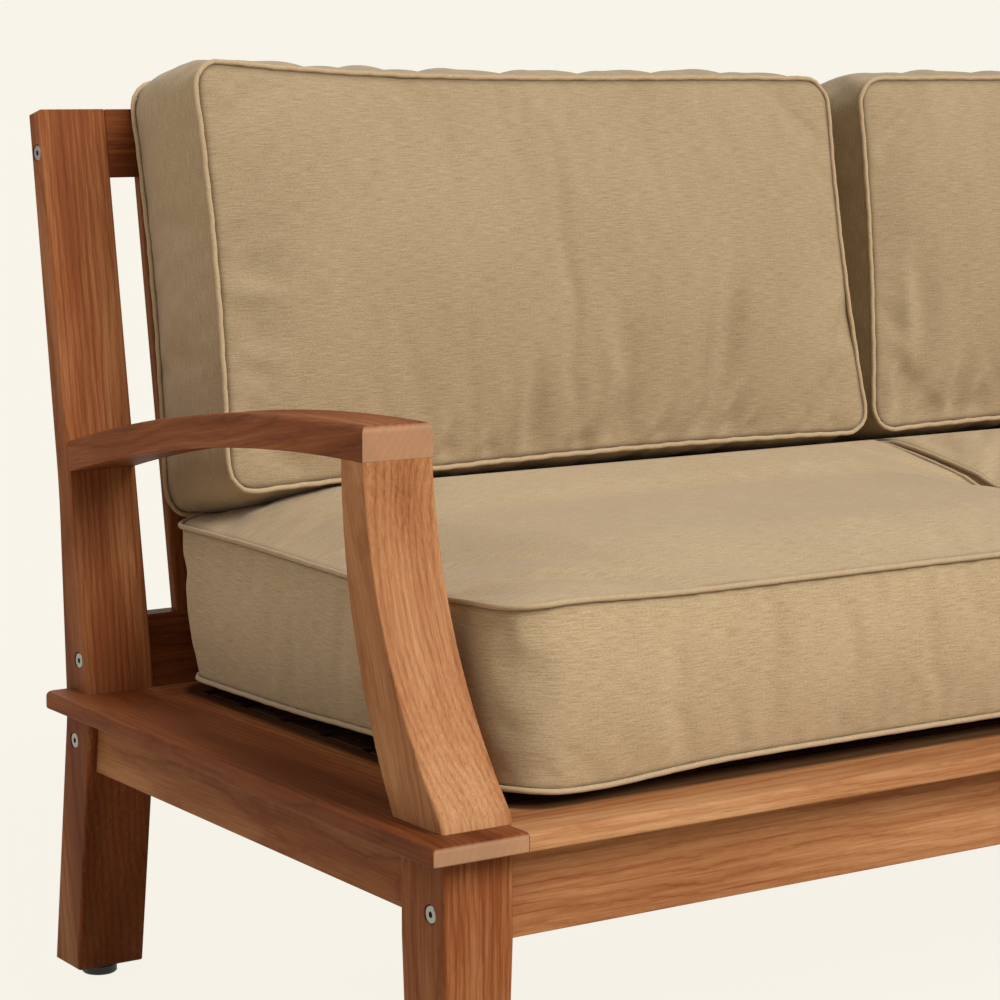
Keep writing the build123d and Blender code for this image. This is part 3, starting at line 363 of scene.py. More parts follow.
# The ends of the nodes' names, by how many boards of a kind there are.
ENDINGS = {
    1: ("",), 2: ("_left", "_right"), 3: ("_left", "_centre", "_right"),
    7: tuple(f"_{number}" for number in range(1, 8)),
}
# Boards that get painted shade where the cushions cover them.
BOARDS_WITH_PAINTED_SHADE = ("front_deck_board", "rear_deck_board", "side_deck_board", "seat_slat")
print("boards:", sum(len(tones) for board, direction, tones in BOARDS))


# %% Dress the boards
def dress(node_name, material):
    """Gives a CAD node one material in place of its own."""
    nodes[node_name].data.materials.clear()
    nodes[node_name].data.materials.append(material)


def place_in_log(index):
    """Where a board is cut: further along the log each time, at 5 places across it and 7 up."""
    return (0.37 * index, 0.055 + 0.013 * (index % 5), -0.06 + 0.017 * (index % 7))


dressed = []
for board, direction, tones in BOARDS:
    for ending, tone in zip(ENDINGS[len(tones)], tones):
        node_name = board + ending
        log_offset = place_in_log(len(dressed))
        covered = board in BOARDS_WITH_PAINTED_SHADE
        dress(node_name, wood("wood_" + node_name, direction, log_offset, tone, covered=covered))
        dressed.append(node_name)
print("boards dressed:", len(dressed), "from", dressed[0], "to", dressed[-1])

# %% [markdown]
# ## Steel, brass and plastic
#
# The bolt heads are stainless steel, dulled by turning marks, the sleeves in the legs are brass, and the feet
# are moulded black plastic with a fine grain. A little noise in the roughness is enough at this size:
# real metal never reflects evenly.

# %% Metal and plastic materials
def marks_on(material, marks_per_metre, detail):
    """Fine noise, the same in all directions."""
    place = add_node(material, "TexCoord").outputs["Object"]
    return add_node(material, "TexNoise", {
        "Vector": place, "Scale": marks_per_metre, "Detail": detail,
    }).outputs["Fac"]


def metal(name, tint, roughness, marks_per_metre):
    material = new_material(name)
    marks = marks_on(material, marks_per_metre, 3.0)
    return give_surface(material, {
        "Base Color": tint, "Metallic": 1.0,
        "Roughness": spread(material, marks, 0.0, 1.0, roughness - 0.12, roughness + 0.14),
        "Normal": relief(material, marks, 0.15, 0.0002),
    })


def moulded(name, tint, roughness, marks_per_metre):
    material = new_material(name)
    marks = marks_on(material, marks_per_metre, 2.0)
    return give_surface(material, {
        "Base Color": lay_over(material, marks, tint, shade(tint, 1.35)), "Roughness": roughness,
        "Normal": relief(material, marks, 0.25, 0.0002),
    })


STAINLESS = metal("stainless_steel", colour(158, 155, 150), 0.36, 900.0)
BRASS = metal("sleeve_brass", colour(196, 160, 92), 0.36, 700.0)
FOOT_PLASTIC = moulded("foot_plastic", colour(24, 23, 22), 0.5, 800.0)
DOWEL_WOOD = wood("dowel_wood", ACROSS, (0.2, 0.04, 0.03), 0.8, ring_spacing=0.002)
print("steel, brass, plastic and dowel wood")

# %% Dress the fittings
FINISHES = {
    "frame_bolts": STAINLESS, "barrel_nuts": STAINLESS, "slat_screws": STAINLESS,
    "leg_inserts": BRASS, "frame_dowels": DOWEL_WOOD, "arm_dowels": DOWEL_WOOD,
}
for corner in ("front_left", "front_right", "rear_left", "rear_right"):
    FINISHES["foot_pad_" + corner] = FOOT_PLASTIC
    FINISHES["foot_stem_" + corner] = STAINLESS
for node_name, material in FINISHES.items():
    dress(node_name, material)
print("fittings dressed:", len(FINISHES))

# %% [markdown]
# ## The fabric
#
# The covers are an outdoor canvas of yarns in slightly different tans, so close to it looks like short
# horizontal streaks. Each cushion stores where its points lie on the cloth, and the material reads that, so
# that the streaks follow the cloth round the corners. Fine bump stands for the yarns, and a slow noise for
# the unevenness of worn cloth.

# %% Fabric material
CLOTH_TONES = {0.0: colour(160, 135, 101), 0.5: colour(184, 160, 125), 1.0: colour(201, 178, 143)}
# The darkening along the seams is painted shade, deepening the groove beside the piping.
SEAM_SHADE = colour(74, 58, 38)
SLUB_FINENESS = (55.0, 1050.0, 1.0)
SPECK_FINENESS = (420.0, 900.0, 1.0)
PATCHES_PER_METRE = 9.0
YARN_SPAN = (0.25, 0.75)
SLUB_TONE = 0.3
SPECK_TONE = 0.2
PATCH_TONES = (0.44, 0.56)
SEAM_SHADE_POWER = 2.2
SEAM_SHADE_SHARE = 0.75


def canvas(name, lift=0.0, painted_shade=1.0):
    """Slubbed tan canvas; a lift over 0 paints a piece a touch paler as a painted highlight, and a share
    under 1 darkens it as painted shade.
    """
    material = new_material(name)
    cloth = add_node(material, "UVMap", uv_map="cloth").outputs["UV"]
    slubs = noise(material, cloth, SLUB_FINENESS, 2.0, 0.6, noise_dimensions="2D")
    specks = noise(material, cloth, SPECK_FINENESS, 1.0, noise_dimensions="2D")
    patches = add_node(material, "TexNoise", {
        "Vector": cloth, "Scale": PATCHES_PER_METRE, "Detail": 2.0,
    }).outputs["Fac"]
    slub_part = spread(material, slubs, *YARN_SPAN, -SLUB_TONE, SLUB_TONE)
    speck_part = spread(material, specks, *YARN_SPAN, -SPECK_TONE, SPECK_TONE)
    patch_part = spread(material, patches, *NOISE_SPAN, *(tone + lift for tone in PATCH_TONES))
    yarns = number_step(material, "ADD", slub_part, speck_part)
    weave = number_step(material, "ADD", yarns, patch_part)
    tint = tinted(material, weave, {place: shade(tone, painted_shade) for place, tone in CLOTH_TONES.items()})
    # Painted shade along the seams, where the groove beside the piping lies.
    seam = add_node(material, "Attribute", attribute_name="seam").outputs["Fac"]
    near_seam = number_step(material, "POWER", seam, SEAM_SHADE_POWER)
    painted_seam_shade = spread(material, near_seam, 0.0, 1.0, 0.0, SEAM_SHADE_SHARE)
    return give_surface(material, {
        "Base Color": lay_over(material, painted_seam_shade, tint, SEAM_SHADE),
        "Roughness": 0.88, "Specular IOR Level": 0.2,
        "Sheen Weight": 0.15, "Sheen Roughness": 0.5,
        "Normal": relief(material, weave, 0.35, 0.0004),
    })


SEAT_CANVAS = canvas("seat_canvas")
# The back cushions' canvas is the same cloth as the seats, darkened as painted shade.
BACK_CANVAS = canvas("back_canvas", painted_shade=0.84)
# The piping is the same canvas, painted a touch paler as a painted highlight on the cord.
PIPING_CANVAS = canvas("piping_canvas", lift=0.1)
ZIP_TAPE = moulded("zip_tape", colour(128, 106, 76), 0.7, 1500.0)
print("canvas and zip tape")

# %% [markdown]
# ## Cushion patterns
#
# A boxed cushion is cut from two panels and a boxing strip, sewn together at two corded seams. The mesh
# follows that pattern: two grids and the rows of the strip between them, so every seam is a loop of points
# that the piping can follow. The corners are rounded, and the sides drawn in between them, as the filling
# pulls them. Each cushion is made lying flat round its own middle, then placed: the seats level on the
# slats, the backs stood up along the slope of the posts.

# %% Cushion sizes, taken from the CAD nodes they replace
CLOTH_STEP = 0.0095
WELT = 0.002
BACK_HEIGHT = 0.392


def cover_size(node_name):
    """Width and depth of a CAD cover between its welts."""
    low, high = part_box(node_name)
    return high[0] - low[0] - 2 * WELT, high[1] - low[1] - 2 * WELT


# low and high are the heights of the seams, rest is the height that the cushion lies on. corner and
# low_corner round the two panels, draw_in pulls their sides in, crown and belly swell them. bulge swells the
# boxing strip, and puff lifts it along the top. cap is the most that the filling may move a point, and spare
# is the share of extra cloth.
SEAT = {
    "low": 0.308, "high": 0.450, "rest": 0.2913, "corner": 0.036, "low_corner": 0.052, "draw_in": 0.006,
    "crown": 0.013, "belly": 0.0165, "bulge": 0.004, "puff": 0.0, "cap": 0.022, "spare": 0.012,
}
BACK = {
    "low": 0.004, "high": 0.136, "rest": 0.0, "corner": 0.028, "low_corner": 0.028, "draw_in": 0.007,
    "crown": 0.015, "belly": 0.004, "bulge": 0.005, "puff": 0.010, "cap": 0.024, "spare": 0.014,
}
SEAT["width"], SEAT["depth"] = cover_size("seat_cushion_cover_left")
BACK["width"], BACK["depth"] = cover_size("back_cushion_cover_left")[0], BACK_HEIGHT
print("seat cushion", round(SEAT["width"], 4), "by", round(SEAT["depth"], 4))
print("back cushion", round(BACK["width"], 4), "by", round(BACK["depth"], 4))


# %% Places of the four cushions
SLOPE_ANGLE = math.atan2(SLOPE[1], SLOPE[2])
SLOPE_UP = Vector((0, math.sin(SLOPE_ANGLE), math.cos(SLOPE_ANGLE)))
SLOPE_FACING = Vector((0, -math.cos(SLOPE_ANGLE), math.sin(SLOPE_ANGLE)))
BACK_BOTTOM = 0.469
POST_FACE_KNEE = (0.271, 0.270)
BACK_REST_OFFSET = 0.0007


def seat_place(side):
    low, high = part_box("seat_cushion_cover_" + side)
    return Matrix.Translation(((low[0] + high[0]) / 2, (low[1] + high[1]) / 2, 0))


def back_place(side):
    """Stands a flat cushion up: its Y goes up the slope, and its Z faces the sitter."""
    low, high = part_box("back_cushion_cover_" + side)
    middle = BACK_BOTTOM + BACK["depth"] / 2 * SLOPE_UP.z
    face = POST_FACE_KNEE[0] + (middle - POST_FACE_KNEE[1]) * SLOPE_UP.y / SLOPE_UP.z
    turn = Matrix((Vector((1, 0, 0)), SLOPE_UP, SLOPE_FACING)).transposed().to_4x4()
    return Matrix.Translation(((low[0] + high[0]) / 2, face + BACK_REST_OFFSET, middle)) @ turn


print("back cushion stands at", [round(value, 4) for value in back_place("left").translation])


# %% The flat pattern of a cushion
FULLNESS_POWER = 3.2


def plan_point(u, v, shape, corner):
    """A panel point, for u and v from -1 to 1: rounded corners and drawn-in sides."""
    half_x, half_y = shape["width"] / 2, shape["depth"] / 2
    x, y = u * half_x, v * half_y
    past_x = (abs(x) - half_x + corner) / corner
    past_y = (abs(y) - half_y + corner) / corner
    if past_x > 0 and past_y > 0:
        x = math.copysign(half_x - corner + corner * past_x * math.sqrt(1 - past_y**2 / 2), x)
        y = math.copysign(half_y - corner + corner * past_y * math.sqrt(1 - past_x**2 / 2), y)
    drawn_x = x * (1 - shape["draw_in"] / half_x * (1 - (y / half_y) ** 2))
    drawn_y = y * (1 - shape["draw_in"] / half_y * (1 - (x / half_x) ** 2))
    return drawn_x, drawn_y


def fullness(u, v):
    """How full a panel is at a point: 1 in the middle, falling to 0 at the seams."""
    return (1 - abs(u) ** FULLNESS_POWER) * (1 - abs(v) ** FULLNESS_POWER)


print("fullness halfway to a seam:", round(fullness(0.5, 0), 3))

# %% [markdown]
# ## Cushions that have been sat on
#
# Worn cushions no longer follow their pattern. The seat climbs towards the rear and its neighbour, and its
# edges have swells and hollows. The seams of a back cushion have moved with the filling. Simulating years
# of use would be slow and hard to steer, and seams are easy to see in a photograph, so each is a short
# formula instead, fitted to the line of its piping. It takes shares of the panel: u from -1 outside to 1
# inside, v from -1 at the front or bottom to 1 at the rear or top.

# %% How high the seat's seams lie
SEAT_RISE = 0.038
RISE_START = -0.02
RISE_LENGTH = 0.7
RISE_EASE = 0.14
PRESSED_SHARE = 0.15
PRESSED_START = 0.7
FRONT_LIFT = 0.003
# Each swell is a height, then the middle and width of its bell across and from front to back.
SEAT_SWELLS = {
    "high": ((-0.0065, -1, 0.25, -0.25, 0.6), (0.005, -0.88, 0.2, -1, 0.35), (0.004, 1, 0.3, -0.2, 0.5)),
    "low": ((0.006, -1, 0.2, -0.3, 0.4), (-0.006, -0.8, 0.22, -1, 0.28)),
}


def bell(distance, width):
    return math.exp(-((distance / width) ** 2))


def seat_rise(u, v, level):
    """How far a point of the seat lies above its pattern."""
    swells = sum(
        height * bell(u - middle_u, width_u) * bell(v - middle_v, width_v)
        for height, middle_u, width_u, middle_v, width_v in SEAT_SWELLS[level]
    )
    if level == "low":
        return swells
    inward = 1 - ((1 - u) / 2) ** 3
    behind = max(0.0, v - RISE_START)
    climb = (1 - (1 - min(1.0, behind / RISE_LENGTH)) ** 1.5) * min(1.0, behind / RISE_EASE)
    pressed = 1 - PRESSED_SHARE * max(0.0, (v - PRESSED_START) / (1 - PRESSED_START))
    return SEAT_RISE * inward * climb * pressed + FRONT_LIFT * ((1 - v) / 2) ** 2 + swells


def no_rise(u, v, level):
    """The panels of a back cushion keep the height of their pattern."""
    return 0.0


print("seat climbs", round(seat_rise(1, 0.65, "high") * 1000, 1), "mm at the rear, inside")

# %% How far the seams have moved along the panels
NEIGHBOUR_ROOM = 0.0026
REAR_CORNER_DRAW = 0.02
TOP_SEAM = (-0.0027, -0.0019, 0.0016, -0.0075)
BOTTOM_SEAM = (0.0045, 0.0063, 0.0015)
INNER_CORNER_SAG = 0.005
REAR_SEAM_SAG = 0.0045
REAR_CORNER_SAG = 0.014
OUTER_SHIFT = 0.003
INNER_SHIFT = 0.0095


def seat_sag(u, v, level):
    """Room for the neighbour's piping, and on the underside a rear outer corner drawn forward."""
    drawn = -REAR_CORNER_DRAW * ((1 - u) / 2) ** 8 * ((1 + v) / 2) ** 2 if level == "low" else 0.0
    return -NEIGHBOUR_ROOM * (1 + u) / 2, drawn


def seam_line(shares, u):
    """A seam's height along the cushion, from its shares of 1, u, u squared and u cubed."""
    return sum(share * u**power for power, share in enumerate(shares))


def back_sag(u, v, level):
    """How far a back cushion's seams have moved; the rear bottom one hangs on the seat."""
    top = seam_line(TOP_SEAM, u)
    bottom = seam_line(BOTTOM_SEAM, u) - INNER_CORNER_SAG * ((1 + u) / 2) ** 3
    if level == "low":
        bottom = -REAR_SEAM_SAG - REAR_CORNER_SAG * ((1 - u) / 2) ** 2
    inner = -INNER_SHIFT * (1 + v)
    across = OUTER_SHIFT + (inner - OUTER_SHIFT) * (1 + u) / 2
    return across, bottom + (top - bottom) * (1 + v) / 2


SEAT["rise"], SEAT["sag"] = seat_rise, seat_sag
BACK["rise"], BACK["sag"] = no_rise, back_sag
print("top seam's inner end moves", round(back_sag(1, 1, "high")[1] * 1000, 1), "mm along the slope")

# %% [markdown]
# ## The mesh of a cushion
#
# A cube that is cut and bevelled wouldn't say which edge is a seam. Here the points are laid out as the
# cloth is cut: the grid of each panel, and rows of the strip from one seam to the other. The seams are
# marked twice: a value on their points paints shade along them, for the groove beside the piping, and a
# crease on their edges keeps the later smoothing from pulling the cloth away from the piping.

# %% Points of the panels and of the boxing strip
# Each wave of the strip is a share of its puff, radians per metre, and where it starts.
STRIP_WAVES = ((0.16, 62, 0), (0.12, 137, 1))


def panel_points(shape, columns, rows):
    """The points of both panels, row by row, the top panel first."""
    points = []
    for level, rounding, swell, sign in (("high", "corner", "crown", 1), ("low", "low_corner", "belly", -1)):
        for j in range(rows + 1):
            for i in range(columns + 1):
                u, v = 2 * i / columns - 1, 2 * j / rows - 1
                x, y = plan_point(u, v, shape, shape[rounding])
                across, up = shape["sag"](u, v, level)
                height = shape[level] + shape["rise"](u, v, level) + sign * shape[swell] * fullness(u, v)
                points.append((x + across, y + up, height))
    return points


def border(columns, rows):
    """The border of a grid of points, once round, as (column, row) pairs."""
    bottom = [(i, 0) for i in range(columns)]
    right = [(columns, j) for j in range(rows)]
    top = [(columns - i, rows) for i in range(columns)]
    left = [(0, rows - j) for j in range(rows)]
    return bottom + right + top + left


def strip_loops(points, top_seam, bottom_seam, shape, strip_rows):
    """Adds the rows of the boxing strip to the points, and returns its loops."""
    loops = [top_seam]
    count = len(top_seam)
    for row in range(1, strip_rows):
        share = row / strip_rows
        outward = shape["bulge"] * math.sin(math.pi * share)
        puff = shape["puff"] * math.sin(math.pi * share) ** 0.6
        loop = []
        for index in range(count):
            here = Vector(points[top_seam[index]]).lerp(Vector(points[bottom_seam[index]]), share)
            before = Vector(points[top_seam[index - 1]])
            after = Vector(points[top_seam[(index + 1) % count]])
            along = (after - before).normalized()
            wave = 1 + sum(size * math.sin(here.x * pace + start) for size, pace, start in STRIP_WAVES)
            inside = 1 - min(1.0, abs(here.x) / (shape["width"] / 2)) ** 6
            push = outward + puff * wave * inside * max(0.0, -along.x) ** 2
            loop.append(len(points))
            points.append((here.x + along.y * push, here.y - along.x * push, here.z))
        loops.append(loop)
    return loops + [bottom_seam]


seat_border = border(round(SEAT["width"] / CLOTH_STEP), round(SEAT["depth"] / CLOTH_STEP))
print("points on one seam of a seat cushion:", len(seat_border))


# %% Faces, and where they lie on the flat cloth
def panel_faces(points, columns, rows):
    """The faces of both panels and their places on the cloth, which are simply their own X and Y."""
    faces = []
    row_length = columns + 1
    for base in (0, row_length * (rows + 1)):
        for j in range(rows):
            for i in range(columns):
                first = base + j * row_length + i
                quad = [first, first + 1, first + row_length + 1, first + row_length]
                faces.append(quad if base == 0 else quad[::-1])
    return faces, [[(points[index][0], points[index][1]) for index in quad] for quad in faces]


def strip_faces(points, loops, height):
    """The faces of the strip and their places on the cloth: along the seam, and down by rows."""
    faces, cloth = [], []
    count = len(loops[0])
    run = [0.0]
    for index in range(count):
        here, there = (Vector(points[loops[0][k % count]]) for k in (index, index + 1))
        run.append(run[-1] + (there - here).length)
    strip_rows = len(loops) - 1
    for row, (upper, lower) in enumerate(zip(loops, loops[1:])):
        above, below = (-height * k / strip_rows for k in (row, row + 1))
        for index in range(count):
            following = (index + 1) % count
            faces.append([upper[index], lower[index], lower[following], upper[following]])
            here, there = run[index], run[index + 1]
            cloth.append([(here, above), (here, below), (there, below), (there, above)])
    return faces, cloth


def cloth_mesh(name, points, faces, cloth):
    """A mesh that stores where each corner of its faces lies on the flat cloth."""
    mesh = bpy.data.meshes.new(name)
    mesh.from_pydata(points, [], faces)
    layer = mesh.uv_layers.new(name="cloth")
    for corner, spot in enumerate(spot for quad in cloth for spot in quad):
        layer.data[corner].uv = spot
    return mesh


print("strip of a seat cushion:", round(SEAT["high"] - SEAT["low"], 3), "m high")

# %% Put a cushion's cover together
SEAM_CREASE = 0.9


def mark_seams(mesh, seams):
    """Marks the seams' points for the painted shade along them, and their edges for the smoothing."""
    seam_shade_marks = mesh.attributes.new("seam", "FLOAT", "POINT")
    for index in (index for seam in seams for index in seam):
        seam_shade_marks.data[index].value = 1.0
    sewn = {frozenset(pair) for seam in seams for pair in zip(seam, seam[1:] + seam[:1])}
    creases = mesh.attributes.new("crease_edge", "FLOAT", "EDGE")
    for edge in mesh.edges:
        creases.data[edge.index].value = SEAM_CREASE if frozenset(edge.vertices) in sewn else 0.0


def cushion_cover(name, shape):
    """Builds the closed cover and returns it with its top and bottom seam."""
    columns = round(shape["width"] / CLOTH_STEP)
    rows = round(shape["depth"] / CLOTH_STEP)
    height = shape["high"] - shape["low"]
    points = panel_points(shape, columns, rows)
    top_seam = [j * (columns + 1) + i for i, j in border(columns, rows)]
    bottom_seam = [len(points) // 2 + index for index in top_seam]
    faces, cloth = panel_faces(points, columns, rows)
    loops = strip_loops(points, top_seam, bottom_seam, shape, round(height / CLOTH_STEP))
    more_faces, more_cloth = strip_faces(points, loops, height)
    mesh = cloth_mesh(name, points, faces + more_faces, cloth + more_cloth)
    mark_seams(mesh, (top_seam, bottom_seam))
    return put_in_scene(name, mesh), (top_seam, bottom_seam)


print("crease along the seams:", SEAM_CREASE)

# %% [markdown]
# ## Filling the cushions
#
# A sewn cover is always a little longer than the line it is sewn to, and the filling pushes it out, which
# makes the small puckers along the piping. Cloth simulation gives that: the seams are pinned, the cloth
# gets a little more than one percent of extra length, and pressure fills it. No point may move further
# than its cap, and the cushion is pressed flat again where it rests on the slats or under its neighbour.

# %% Read and write the points of a mesh
def coordinates(mesh):
    numbers = [0.0] * (3 * len(mesh.vertices))
    mesh.vertices.foreach_get("co", numbers)
    return [Vector(numbers[i:i + 3]) for i in range(0, len(numbers), 3)]


def set_coordinates(mesh, places):
    mesh.vertices.foreach_set("co", [value for place in places for value in place])
    mesh.update()


print("points are read and written as vectors")

# %% Simulate one cushion
FILLING_FRAMES = 20
CANVAS_IN_SIMULATION = {
    "quality": 6, "mass": 0.25, "bending_stiffness": 0.6, "shear_stiffness": 6,
    "tension_stiffness": 18, "compression_stiffness": 18,
    "use_pressure": True, "uniform_pressure_force": 3.0,
    "vertex_group_mass": "seams", "pin_stiffness": 1.0,
}


def fill_out(piece, seams, shape):
    """Puffs the cover out between its pinned seams and keeps the result."""
    group = piece.vertex_groups.new(name="seams")
    group.add([index for seam in seams for index in seam], 1.0, "REPLACE")
    filling = piece.modifiers.new("filling", "CLOTH")
    for setting, value in CANVAS_IN_SIMULATION.items():
        setattr(filling.settings, setting, value)
    filling.settings.shrink_min = -shape["spare"]
    filling.settings.effector_weights.gravity = 0.0
    filling.collision_settings.use_collision = False
    filling.point_cache.frame_start = 1
    filling.point_cache.frame_end = FILLING_FRAMES
    for number in range(1, FILLING_FRAMES + 1):
        scene.frame_set(number)
    start = coordinates(piece.data)
    evaluated = piece.evaluated_get(bpy.context.evaluated_depsgraph_get())
    moves = [end - begin for begin, end in zip(start, coordinates(evaluated.data))]
    piece.modifiers.remove(filling)
    scene.frame_set(1)
    cap = shape["cap"]
    capped = [move if move.length <= cap else move.normalized() * cap for move in moves]
    set_coordinates(piece.data, [begin + move for begin, move in zip(start, capped)])
    furthest = max(move.length for move in moves)
    print(piece.name, "filled out, furthest point moved", round(furthest * 1000, 1), "mm")


def smooth_once(piece):
    """Adds one level of subdivision and keeps it in the mesh."""
    modifier = piece.modifiers.new("smooth", "SUBSURF")
    modifier.levels = 1
    modifier.render_levels = 1
    modifier.uv_smooth = "PRESERVE_BOUNDARIES"
    evaluated = piece.evaluated_get(bpy.context.evaluated_depsgraph_get())
    smoothed = bpy.data.meshes.new_from_object(evaluated)
    piece.modifiers.remove(modifier)
    piece.data = smoothed
    piece.data.shade_smooth()


print("filling takes", FILLING_FRAMES, "frames")

# %% [markdown]
# ## Creases
#
# The photograph shows creases that no general rule predicts: leaning folds that run up from the bottom
# seam of the back cushions where the filling has settled, and soft dimples beside the upright seams. Each
# is a line on the panel with a width and a depth, pressed in as a narrow ridge with a wider hollow on its
# right, as a leaning fold in stuffed cloth looks.

# %% Press creases into a panel
CREASE_DEPTH = 1.9
RIDGE_SHARE = 0.75
END_SHARE = 0.35
SEAM_BLEND = 0.008
# These are in widths of the crease: how far it reaches, and the place and width of its ridge and hollow.
REACH_PAST_END = 3
REACH_ASIDE = 4
END_FADE = 1.4
RIDGE_PLACE, RIDGE_WIDTH = 0.8, 0.7
HOLLOW_PLACE, HOLLOW_WIDTH = -0.7, 1.3


def crease_line(crease, shape):
    """Turns a crease, which runs between two shares of the panel from -1 to 1, into metres."""
    u0, v0, u1, v1, width, depth = crease
    half_x, half_y = shape["width"] / 2, shape["depth"] / 2
    start = Vector((u0 * half_x, v0 * half_y))
    run = Vector((u1 * half_x, v1 * half_y)) - start
    return start, run.normalized(), run.length, width, depth * CREASE_DEPTH


def crease_lift(spot, line):
    """How far one crease lifts a spot of the panel: most halfway along it."""
    start, direction, length, width, depth = line
    offset = spot - start
    along = offset.dot(direction)
    past_end = max(0.0, -along, along - length)
    across = offset.x * direction.y - offset.y * direction.x
    if past_end > width * REACH_PAST_END or abs(across) > width * REACH_ASIDE:
        return 0.0
    halfway = math.sin(math.pi * min(1.0, max(0.0, along / length)))
    fade = bell(past_end, width * END_FADE) * (END_SHARE + (1 - END_SHARE) * halfway)
    hollow = bell(across - width * HOLLOW_PLACE, width * HOLLOW_WIDTH)
    ridge = RIDGE_SHARE * bell(across - width * RIDGE_PLACE, width * RIDGE_WIDTH)
    return depth * fade * (ridge - hollow)


def press_creases(places, creases, shape):
    """Moves the points of the crowned panel along its own Z, and blends that out at its seam."""
    lines = [crease_line(crease, shape) for crease in creases]
    for place in places:
        panel_share = min(1.0, max(0.0, (place.z - shape["high"] + SEAM_BLEND / 2) / SEAM_BLEND))
        if panel_share > 0:
            spot = Vector((place.x, place.y))
            place.z += panel_share * sum(crease_lift(spot, line) for line in lines)


print("creases fade out over", SEAM_BLEND * 1000, "mm at the seam")


# %% Press a cushion flat where it rests
def press_flat(places, shape, plane=None, room=0.0):
    """Keeps points above what the cushion lies on and, with room to spare, below a plane."""
    for place in places:
        place.z = max(place.z, shape["rest"])
        if plane:
            point, normal = plane
            above = (place - point).dot(normal) + room
            if above > 0:
                place -= normal * above


print("seat cushions rest at", SEAT["rest"], "m")

# %% [markdown]
# ## Piping
#
# The corded seams are the same canvas folded round a cord about 5 mm thick. A curve with a round bevel has
# no cloth directions for the weave, so the tube is built point by point along the seam, with its own cloth
# map, and a very small ripple where the stitching pulls it in.

# %% Build piping along a seam
PIPING_RADIUS = 0.0025
PIPING_SIDES = 8
PIPING_STANDOFF = 0.75
# Each ripple is its height and its radians from one point of the seam to the next.
PIPING_RIPPLES = ((0.00035, 2.1), (0.0002, 0.77))


def piping_points(seam):
    """Rings of points round a seam, standing slightly proud of it."""
    centre = sum(seam, Vector()) / len(seam)
    up = Vector((0, 0, 1))
    points = []
    for index, place in enumerate(seam):
        along = (seam[(index + 1) % len(seam)] - seam[index - 1]).normalized()
        out = along.cross(up).normalized()
        if out.dot(place - centre) < 0:
            out = -out
        ripple = sum(size * math.sin(index * pace) for size, pace in PIPING_RIPPLES)
        heart = place + out * (PIPING_RADIUS * PIPING_STANDOFF + ripple)
        for step in range(PIPING_SIDES):
            angle = math.tau * step / PIPING_SIDES
            points.append(heart + (out * math.cos(angle) + up * math.sin(angle)) * PIPING_RADIUS)
    return points


def piping(name, seam):
    """A closed tube along a seam, with its cloth cut on the bias, as piping is."""
    faces, cloth = [], []
    side_width = math.tau * PIPING_RADIUS / PIPING_SIDES
    run = 0.0
    for index, place in enumerate(seam):
        following = (index + 1) % len(seam)
        here, there = run, run + (seam[following] - place).length
        run = there
        for step in range(PIPING_SIDES):
            turned = (step + 1) % PIPING_SIDES
            faces.append([
                index * PIPING_SIDES + step, following * PIPING_SIDES + step,
                following * PIPING_SIDES + turned, index * PIPING_SIDES + turned,
            ])
            low, high = side_width * step, side_width * (step + 1)
            square = ((here, low), (there, low), (there, high), (here, high))
            cloth.append([(along + around, around - along) for along, around in square])
    mesh = cloth_mesh(name, piping_points(seam), faces, cloth)
    mesh.shade_smooth()
    mesh.materials.append(PIPING_CANVAS)
    return put_in_scene(name, mesh)


print("piping", PIPING_RADIUS * 2000, "mm thick")

# %% [markdown]
# ## From a cover to a pair of cushions
#
# The left and right cushions have the same pattern, turned over. So one cover is filled out, its mirror
# image serves the other end, and each gets its own creases, so that they don't look copied.

# %% Make a pair of cushions from one filled-out cover
def filled_cover(name, shape):
    """A cover filled out and smoothed, with its seams as places for the piping."""
    piece, seams = cushion_cover(name, shape)
    fill_out(piece, seams, shape)
    places = coordinates(piece.data)
    seam_places = [[places[index].copy() for index in seam] for seam in seams]
    smooth_once(piece)
    return piece, seam_places


def mirror_copy(piece, seams, name):
    """The same filled-out cover turned over left to right, for the other end of the seat."""
    copy = put_in_scene(name, piece.data.copy())
    copy.data.transform(Matrix.Scale(-1, 4, Vector((1, 0, 0))))
    copy.data.flip_normals()
    turned = [[Vector((-place.x, place.y, place.z)) for place in reversed(seam)] for seam in seams]
    return copy, turned


def finish_cushion(piece, seams, place, cad_nodes, creases, shape, plane):
    """Creases and places a cushion with its piping, and gives them to the body of that name."""
    body = piece.name
    places = coordinates(piece.data)
    press_creases(places, creases, shape)
    press_flat(places, shape, plane)
    set_coordinates(piece.data, places)
    piece.data.transform(place)
    piece.data.materials.clear()
    piece.data.materials.append(shape["canvas"])
    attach(piece, body)
    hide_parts(*cad_nodes)
    for label, seam in zip(("upper", "lower"), seams):
        if plane:
            press_flat(seam, shape, plane, room=PIPING_RADIUS * 2)
        cord = piping(f"{piece.name}_{label}_piping", seam)
        cord.data.transform(place)
        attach(cord, body)


def cushion_pair(kind, inner, shape, creases, place_of, plane_of=None):
    """Makes the left and the right cushion of one kind."""
    left, left_seams = filled_cover(f"{kind}_cushion_left", shape)
    right, right_seams = mirror_copy(left, left_seams, f"{kind}_cushion_right")
    for side, piece, seams in (("left", left, left_seams), ("right", right, right_seams)):
        plane = plane_of(side) if plane_of else None
        cad_nodes = (f"{kind}_cushion_cover_{side}", f"{kind}_cushion_{inner}_{side}")
        finish_cushion(piece, seams, place_of(side), cad_nodes, creases[side], shape, plane)
    print(kind, "cushions made:", left.name, "and", right.name)


